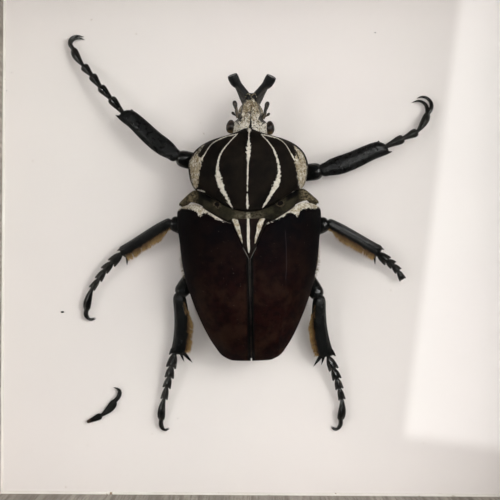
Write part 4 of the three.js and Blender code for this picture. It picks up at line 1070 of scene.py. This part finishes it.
TIBIA_SHAPES = {
    "front": [
        (-0.02, 0, 1.3, 1.0), (0.01, 0, 2.1, 1.4), (0.05, 0.03, 2.35, 1.5), (0.09, 0.05, 2.3, 1.5),
        (0.15, 0.08, 2.75, 1.6), (0.22, 0.2, 3.05, 1.7), (0.3, 0.3, 3.15, 1.75), (0.45, 0.36, 3.05, 1.75),
        (0.6, 0.1, 2.98, 1.7), (0.75, -0.28, 2.85, 1.65), (0.86, -0.3, 2.75, 1.6), (0.93, -0.05, 2.6, 1.5),
        (0.985, 0.45, 2.05, 1.2), (1.025, 0.9, 1.3, 0.75),
    ],
    "middle": [
        (-0.03, 0, 1.0, 0.9), (0.01, 0, 1.6, 1.4), (0.05, 0, 1.75, 1.5), (0.1, -0.05, 1.75, 1.5),
        (0.18, -0.1, 1.9, 1.6), (0.35, -0.12, 1.95, 1.65), (0.6, -0.1, 1.9, 1.6), (0.82, -0.05, 1.9, 1.6),
        (0.93, 0, 2.05, 1.5), (0.98, 0, 2.15, 1.3), (1.01, 0, 1.5, 0.9),
    ],
    "hind": [
        (-0.035, 0, 1.2, 1.0), (0, 0.05, 1.8, 1.4), (0.05, 0.12, 2.1, 1.55), (0.1, 0.25, 2.25, 1.65),
        (0.18, 0.55, 2.3, 1.7), (0.4, 1.2, 2.45, 1.65), (0.65, 1.2, 2.5, 1.65), (0.84, 0.85, 2.6, 1.6),
        (0.93, 0.5, 2.7, 1.5), (0.98, 0.25, 2.8, 1.3), (1.01, 0.05, 1.9, 0.9),
    ],
}
SPURS = {
    "front": [[(0.88, 1.3, 1.25), (1.065, 2.15, 0.1)], [(0.88, -1.9, 0.8), (0.94, -2.75, 0.25)]],
    "middle": [[(0.94, 1.6, 0.6), (1.035, 4.5, 0.06)], [(0.95, -1.2, 0.7), (1.045, -1.5, 0.12)]],
    "hind": [[(0.97, 1.8, 0.8), (1.14, 5.1, 0.07)], [(0.97, 0.9, 0.6), (1.13, 2.3, 0.06)],
             [(0.93, -1.6, 0.9), (1.02, -2.9, 0.1)]],
}
FRINGE = {"middle": (1.7, 2.7, 0.06), "hind": (2.2, 2.2, 0.26)}
FRINGE_HAIRS, FRINGE_CLUMPS = 2600, 110
TUFT_HAIRS = {"hind_left": 230, "hind_right": 60}
HAIR_GIRTH = 0.045
TOE_SPINE = [(0.9, 0.8, 0, 0.36), (1.15, 0.95, 0, 0.24), (1.32, 1.08, -0.05, 0.06)]
GRANULES = 0.07
SPINY_TOE = [
    (-0.12, 0, 0.45, 0.45), (0.05, 0, 0.58, 0.54), (0.28, 0, 0.98, 0.8), (0.6, 0, 1.16, 0.94),
    (0.88, 0, 1.24, 1.0), (1.0, 0, 1.15, 0.85), (1.06, 0, 0.8, 0.6),
]
ROUND_TOE = [
    (-0.1, 0, 0.6, 0.55), (0.05, 0, 0.68, 0.64), (0.35, 0, 0.92, 0.82), (0.62, 0, 1.22, 0.98),
    (0.82, 0, 1.36, 1.02), (0.95, 0, 1.22, 0.9), (1.03, 0, 0.85, 0.65),
]
LAST_TOE = [
    (-0.08, 0.48, 0.45), (0.1, 0.62, 0.58), (0.35, 1.05, 0.9), (0.65, 1.4, 1.05), (0.88, 1.32, 0.95),
    (1.03, 0.9, 0.65),
]


def section_rod(stations, sides, ridges=0, ridge_height=0.0):
    """A closed limb along Y, ring by ring: stations are (y, x shift, half-width, half-thickness)."""
    bpy.ops.object.select_all(action="DESELECT")
    upright = (math.pi / 2, 0, 0)
    bpy.ops.mesh.primitive_circle_add(vertices=sides, radius=1, fill_type="NGON", rotation=upright)
    rod = bpy.context.active_object
    bpy.ops.object.transform_apply(location=True, rotation=True, scale=True)
    for point in rod.data.vertices:
        point.co *= 1 + ridge_height * math.cos(ridges * math.atan2(point.co.z, point.co.x))
    start, shift, wide, thick = stations[0]
    open_mesh(rod)
    bpy.ops.transform.resize(value=(wide, 1, thick), center_override=(0, 0, 0))
    bpy.ops.transform.translate(value=(shift, start, 0))
    for y, x, new_wide, new_thick in stations[1:]:
        bpy.ops.mesh.extrude_region_move(TRANSFORM_OT_translate={"value": (x - shift, y - start, 0)})
        bpy.ops.transform.resize(value=(new_wide / wide, 1, new_thick / thick), center_override=(x, y, 0))
        start, shift, wide, thick = y, x, new_wide, new_thick
    close_mesh()
    turn_faces_out(rod)
    return rod


def lay_along(piece, start, end, across, length=1.0, girth=1.0):
    """Stand a piece modelled along Y between two points, with its X axis across the limb."""
    start, end = Vector(start), Vector(end)
    forward = (end - start).normalized()
    up = across.cross(forward).normalized()
    if up.z < 0:
        up = -up
    frame_of_limb = Matrix((across * girth, forward * length, up * girth)).transposed().to_4x4()
    piece.data.transform(Matrix.Translation(start) @ frame_of_limb)
    turn_faces_out(piece)


def rear_side(leg, name):
    """Level direction across the shin, to the rear on front and middle legs and inward on hind legs."""
    shin = Vector(leg["ankle"]) - Vector(leg["knee"])
    across = Vector((-shin.y, shin.x, 0)).normalized()
    return across if name.endswith("left") else -across


def level_side(start, end):
    run = Vector(end) - Vector(start)
    return Vector((run.y, -run.x, 0)).normalized()


round_toe = section_rod(ROUND_TOE, 16, 4, 0.1)
spiny_toe = section_rod(SPINY_TOE, 16, 4, 0.14)
spines = [tapered_rod([(side * out, ahead, up, girth) for out, ahead, up, girth in TOE_SPINE], 2)
          for side in (-1, 1)]
spiny_toe = joined([spiny_toe, *spines])


def tarsus(joints, claws, toe, first_girth, last_girth, bow):
    """Flared joints end to end, copies of one toe, and at the tip a stouter joint with two hooked claws."""
    parts = []
    plain = len(joints) - 1 - (1 if claws else 0)
    girths = np.linspace(first_girth, last_girth, max(plain, 2))
    for start, end, girth in zip(joints[:plain], joints[1:plain + 1], girths):
        joint = bpy.data.objects.new("joint", toe.data.copy())
        bpy.context.collection.objects.link(joint)
        lay_along(joint, start, end, level_side(start, end), (Vector(end) - Vector(start)).length, girth)
        parts.append(joint)
    if claws:
        start, end = joints[-2], joints[-1]
        run = (Vector(end) - Vector(start)).length
        stations = [(share * run, bow * math.sin(share * math.pi), wide, thick)
                    for share, wide, thick in LAST_TOE]
        last = section_rod(stations, 16, 4, 0.1)
        lay_along(last, start, end, level_side(start, end))
        parts.append(last)
        for claw in claws:
            root = Vector(end).lerp(Vector(start), 0.08)
            girths = [0.86 * (1 - (i + 1) / len(claw)) ** 0.6 + 0.07 for i in range(len(claw))]
            path = [(*root, 0.8), *((*spot, girth) for spot, girth in zip(claw, girths))]
            parts.append(tapered_rod(path, 3))
    whole = joined(parts)
    refine(whole, "SUBSURF", levels=1, render_levels=1)
    return whole


golden_hair = hair_finish("golden_hair", 0.45, [(0.045, 0.020, 0.006, 1), (0.14, 0.070, 0.020, 1)],
                          [(0.15, 0.070, 0.018, 1), (0.58, 0.39, 0.16, 1)], first=0.2)
for name, leg in LEGS.items():
    family = name.split("_")[0]
    shell = satin_black if family == "front" else ridged_black
    hip, knee, ankle = Vector(leg["hip"]), Vector(leg["knee"]), Vector(leg["ankle"])

    broad, deep = FEMUR[family]
    run = (knee - hip).length + 0.3
    femur = section_rod([(share * run, 0, broad * part, deep * part) for share, part in FEMUR_SHAPE], 16)
    lay_along(femur, hip, knee, level_side(hip, knee))
    refine(femur, "SUBSURF", levels=1, render_levels=1)
    settle(femur, SPECIMEN)
    hand_in(femur, f"thigh_{name}", glossy_black, "black_shell", f"femur_{name}")

    rear = rear_side(leg, name)
    run = (ankle - knee).length
    stations = [(share * run, shift, wide, thick) for share, shift, wide, thick in TIBIA_SHAPES[family]]
    shin = section_rod(stations, 24, 6, 0.02 if family == "front" else 0.07)
    lay_along(shin, knee, ankle, rear)
    refine(shin, "SUBSURF", levels=1, render_levels=1)
    if family == "front":
        open_mesh(shin)
        bpy.ops.transform.vertex_random(offset=GRANULES, normal=1, seed=11)
        close_mesh()
    parts = [shin]
    for root, tip in SPURS[family]:
        base = knee.lerp(ankle, root[0]) + rear * root[1]
        point = knee.lerp(ankle, tip[0]) + rear * tip[1]
        middle = base.lerp(point, 0.55)
        parts.append(tapered_rod([(*base, root[2]), (*middle, root[2] * 0.6), (*point, tip[2])], 4))
    tibia = joined(parts)
    settle(tibia, SPECIMEN)
    hand_in(tibia, f"shin_{name}", shell, "black_shell", f"tibia_{name}")

    joints = [leg["heel"], *leg["toes"]]
    outward = math.copysign(0.4, level_side(joints[-2], joints[-1]).x * joints[-1][0])
    toe, first_girth, last_girth = (round_toe, 1.15, 1.1) if family == "front" else (spiny_toe, 1.35, 0.95)
    foot = tarsus(joints, leg["claws"], toe, first_girth, last_girth, outward)
    settle(foot, SPECIMEN)
    hand_in(foot, f"foot_{name}", glossy_black, "black_shell", f"tarsus_{name}")

    if family in FRINGE:
        start, reach, first_hair = FRINGE[family]
        shift = smooth_line([(station[0], station[1]) for station in TIBIA_SHAPES[family]])
        down_shin = np.array((ankle - knee).normalized())[None]
        rearward = np.array(rear)[None]
        clump = chance.integers(0, FRINGE_CLUMPS, FRINGE_HAIRS)
        share = chance.uniform(first_hair, 0.94, FRINGE_CLUMPS)[clump] + chance.normal(0, 0.011, FRINGE_HAIRS)
        tone = chance.uniform(0, 1, FRINGE_CLUMPS)[clump] + chance.normal(0, 0.15, FRINGE_HAIRS)
        tone = np.clip(tone, 0, 1)
        long = chance.uniform(0.75, 1.0, FRINGE_CLUMPS)[clump] * chance.uniform(0.7, 1.0, FRINGE_HAIRS)
        slant = chance.uniform(0.05, 0.5, FRINGE_CLUMPS)[clump] + chance.normal(0, 0.06, FRINGE_HAIRS)
        fade = np.clip((share - first_hair) / 0.2, 0.3, 1) * np.clip((0.985 - share) / 0.06, 0.45, 1)
        base = np.array(knee)[None] + share[:, None] * np.array(ankle - knee)[None]
        base = base + (start - 0.5 + shift(share))[:, None] * rearward
        base[:, 2] += chance.normal(0, 0.4, FRINGE_HAIRS)
        toward = rearward + slant[:, None] * down_shin
        toward[:, 2] += chance.normal(0, 0.16, FRINGE_HAIRS)
        tips = base + toward * (0.5 + reach * fade * long)[:, None]
        if name in TUFT_HAIRS:
            count = TUFT_HAIRS[name]
            part = chance.uniform(0, 1, count)
            share = 0.1 + 0.2 * part
            side_step = 1.35 + chance.uniform(-0.7, 0.7, count) * np.sin(math.pi * part)
            patch = np.array(knee)[None] + share[:, None] * np.array(ankle - knee)[None]
            patch = patch + (side_step + shift(share))[:, None] * rearward
            patch[:, 2] += 1.5 * np.sqrt(1 - (side_step / 2.4) ** 2)
            lean = 0.9 * down_shin + 0.3 * rearward + np.array([0, 0, 0.12])[None]
            lean = lean * chance.uniform(0.6, 1.1, count)[:, None] + chance.normal(0, 0.1, (count, 3))
            base, tips = np.concatenate([base, patch]), np.concatenate([tips, patch + lean])
            tone = np.concatenate([tone, chance.uniform(0, 0.45, count)])
        fringe = hairs(base, tips, HAIR_GIRTH, tone)
        settle(fringe, SPECIMEN)
        hand_in(fringe, f"hair_fringe_{name}", golden_hair, "golden_hair", f"fringe_{name}")


# Loose tarsus tip: the last joint and claws that broke off the right middle leg, lying on the board.
# The broken end is brown and dull, the rest is the same black shell.
LOOSE_JOINTS = [(-55.7, -59.1, 1.2), (-51.2, -57.0, 1.3), (-46.4, -52.0, 1.3)]
LOOSE_CLAWS = [[(-45.0, -49.6, 1.2), (-45.4, -48.0, 1.1), (-47.0, -47.3, 1)],
               [(-44.9, -49.8, 0.8), (-45.1, -48.2, 0.7), (-46.7, -47.6, 0.6)]]
broken_shell, tree, shader = finish("broken_black_shell", Specular_IOR_Level=0.3)
own, across, along = in_millimetres(tree, SPECIMEN)
inputs = {"Vector": on_object(tree), "Dark": (0.0012, 0.0015, 0.0015, 1),
          "Light": (0.0048, 0.0050, 0.0048, 1)}
pits = put(tree, "ShaderNodeGroup", inputs, node_tree=shell_pits)
broken = spread(tree, calc(tree, "ADD", across, ragged(tree, own, 1.2)), -54.7, -55.7)
colour = tint(tree, broken, pits.outputs["Color"], (0.060, 0.030, 0.015, 1))
dress(tree, shader, colour, spread(tree, broken, 0, 1, 0.15, 0.7), pits.outputs["Height"], 0.06, 0.00008)
loose_tip = tarsus(LOOSE_JOINTS, LOOSE_CLAWS, round_toe, 0.85, 0.85, 0.5)
settle(loose_tip, SPECIMEN)
hand_in(loose_tip, "loose_foot_tip", broken_shell, "black_shell", "loose_tarsus_tip")
bpy.data.objects.remove(round_toe)
bpy.data.objects.remove(spiny_toe)


# Crumbs: a few black crumbs of shell that lie on the board below the beetle.
# Each is a small uneven lump, no bigger than a grain of sand.
CRUMBS = [
    (-64.7, -21.4, 0.42), (43.2, 75.0, 0.2), (-82.3, 61.2, 0.16), (-84.0, 55.0, 0.16), (-24.9, -58.1, 0.16),
]
lumps = []
for x, y, size in CRUMBS:
    bpy.ops.object.select_all(action="DESELECT")
    bpy.ops.mesh.primitive_ico_sphere_add(subdivisions=2, radius=size)
    lump = bpy.context.active_object
    open_mesh(lump)
    bpy.ops.transform.resize(value=(1.5, 0.8, 0.6), center_override=(0, 0, 0))
    bpy.ops.transform.vertex_random(offset=size * 0.25, seed=len(lumps) + 3)
    bpy.ops.transform.translate(value=(x, y, size * 0.75))
    close_mesh()
    lumps.append(lump)
crumbs = joined(lumps)
settle(crumbs, SPECIMEN)
hand_in(crumbs, "crumbs_on_board", satin_black, "black_shell")


# Glass: clear picture glass held under the lip of the rails.
# Very slightly uneven in tint, with a polished surface.
clear_glass, tree, shader = finish("picture_glass", Roughness=0.0, IOR=1.5, Transmission_Weight=1.0)
place = on_object(tree)
faint_green = tint(tree, cloud(tree, place, 14.0), (0.965, 0.985, 0.975, 1), (1, 1, 1, 1))
tree.links.new(faint_green, shader.inputs["Base Color"])
nodes["glass"].material_slots[0].material = clear_glass
nodes["glass"].visible_shadow = False


# Floor: a plain pale table that the frame lies on.
# A broad smooth sheet, faintly mottled.
floor_paint, tree, shader = finish("pale_floor", Roughness=0.75)
place = on_object(tree)
grey = tint(tree, cloud(tree, place, 3.0, 4.0), (0.66, 0.64, 0.62, 1), (0.72, 0.70, 0.68, 1))
tree.links.new(grey, shader.inputs["Base Color"])
bpy.ops.object.select_all(action="DESELECT")
bpy.ops.mesh.primitive_plane_add(size=8, location=(0, 0, 0))
floor = bpy.context.active_object
floor.name = "floor"
bpy.ops.object.transform_apply(location=True, rotation=True, scale=True)
floor.data.materials.append(floor_paint)


# Studio light: two broad soft lamps at right and left, a weak one overhead and a panel beside the camera.
# The sides of the frame do not block the side lamps; the panel shows as a pale window in the glass.
LAMPS = [
    ("overhead_lamp", (0.03, 0.05, 2.2), 0.4, 3.0, (1.0, 0.975, 0.955), False),
    ("right_lamp", (1.58, 0.6, 2.18), 0.82, 18.4, (1.0, 0.98, 0.965), True),
    ("left_lamp", (-1.95, 0.0, 2.18), 0.9, 13.6, (1.0, 0.98, 0.97), True),
]
PANEL_SIZE, PANEL_SPOT, PANEL_SOFT = (0.115, 0.31), (0.1625, 0.021), {"X": 0.08, "Y": 0.04}
CAMERA_HEIGHT = 0.4323
DIM_SKY, SEEN_SKY = 0.015, 0.95
sides_of_frame = bpy.data.collections.new("sides_of_frame")
for side in SIDES:
    for piece in (bpy.data.objects[f"rail_{side}"], nodes[f"liner_{side}"], nodes[f"slip_{side}"]):
        sides_of_frame.objects.link(piece)
for entry in sides_of_frame.collection_objects:
    entry.light_linking.link_state = "EXCLUDE"
for name, spot, size, power, colour, is_side in LAMPS:
    lamp = bpy.data.lights.new(name, "AREA")
    lamp.size = size
    lamp.energy = power
    lamp.color = colour
    holder = bpy.data.objects.new(name, lamp)
    holder.location = spot
    holder.rotation_euler = (Vector((0, 0, 0.02)) - Vector(spot)).to_track_quat("-Z", "Y").to_euler()
    lamp.cycles.use_multiple_importance_sampling = is_side
    bpy.context.collection.objects.link(holder)
    if is_side:
        holder.light_linking.blocker_collection = sides_of_frame
panel = bpy.data.lights.new("window_panel", "AREA")
panel.shape = "RECTANGLE"
panel.size, panel.size_y = PANEL_SIZE
panel.energy = 0.29
panel.color = (1.0, 0.98, 0.97)
panel.use_nodes = True
glow = panel.node_tree
spot = put(glow, "ShaderNodeNewGeometry").outputs["Parametric"]
parts = put(glow, "ShaderNodeSeparateXYZ", {"Vector": spot}).outputs
strength = 1.0
for axis, soft in PANEL_SOFT.items():
    for edge, inside in ((0.0, soft), (1.0, 1 - soft)):
        strength = calc(glow, "MULTIPLY", strength, spread(glow, parts[axis], edge, inside))
glow.links.new(strength, glow.nodes["Emission"].inputs["Strength"])
holder = bpy.data.objects.new("window_panel", panel)
holder.location = (*PANEL_SPOT, CAMERA_HEIGHT)
holder.rotation_euler = (0, 0, math.radians(-7))
bpy.context.collection.objects.link(holder)

sky = bpy.data.worlds.new("studio")
bpy.context.scene.world = sky
sky.use_nodes = True
backdrop = sky.node_tree.nodes["Background"]
backdrop.inputs["Color"].default_value = (0.80, 0.79, 0.78, 1)
seen = put(sky.node_tree, "ShaderNodeLightPath").outputs["Is Camera Ray"]
sky.node_tree.links.new(spread(sky.node_tree, seen, 0, 1, DIM_SKY, SEEN_SKY), backdrop.inputs["Strength"])


# Camera: straight above the board, looking down through the glass.
# A long lens at arm's length, turned with the beetle by a third of a degree.
camera = bpy.data.objects.new("camera", bpy.data.cameras.new("camera"))
camera.data.sensor_width = 36
camera.data.lens = 87.45
camera.data.clip_start = 0.01
camera.location = (*SPECIMEN_PLACE[:2], CAMERA_HEIGHT)
camera.rotation_euler = (0, 0, SPECIMEN_TURN)
bpy.context.collection.objects.link(camera)
bpy.context.scene.camera = camera
bpy.context.scene.view_settings.view_transform = "Standard"
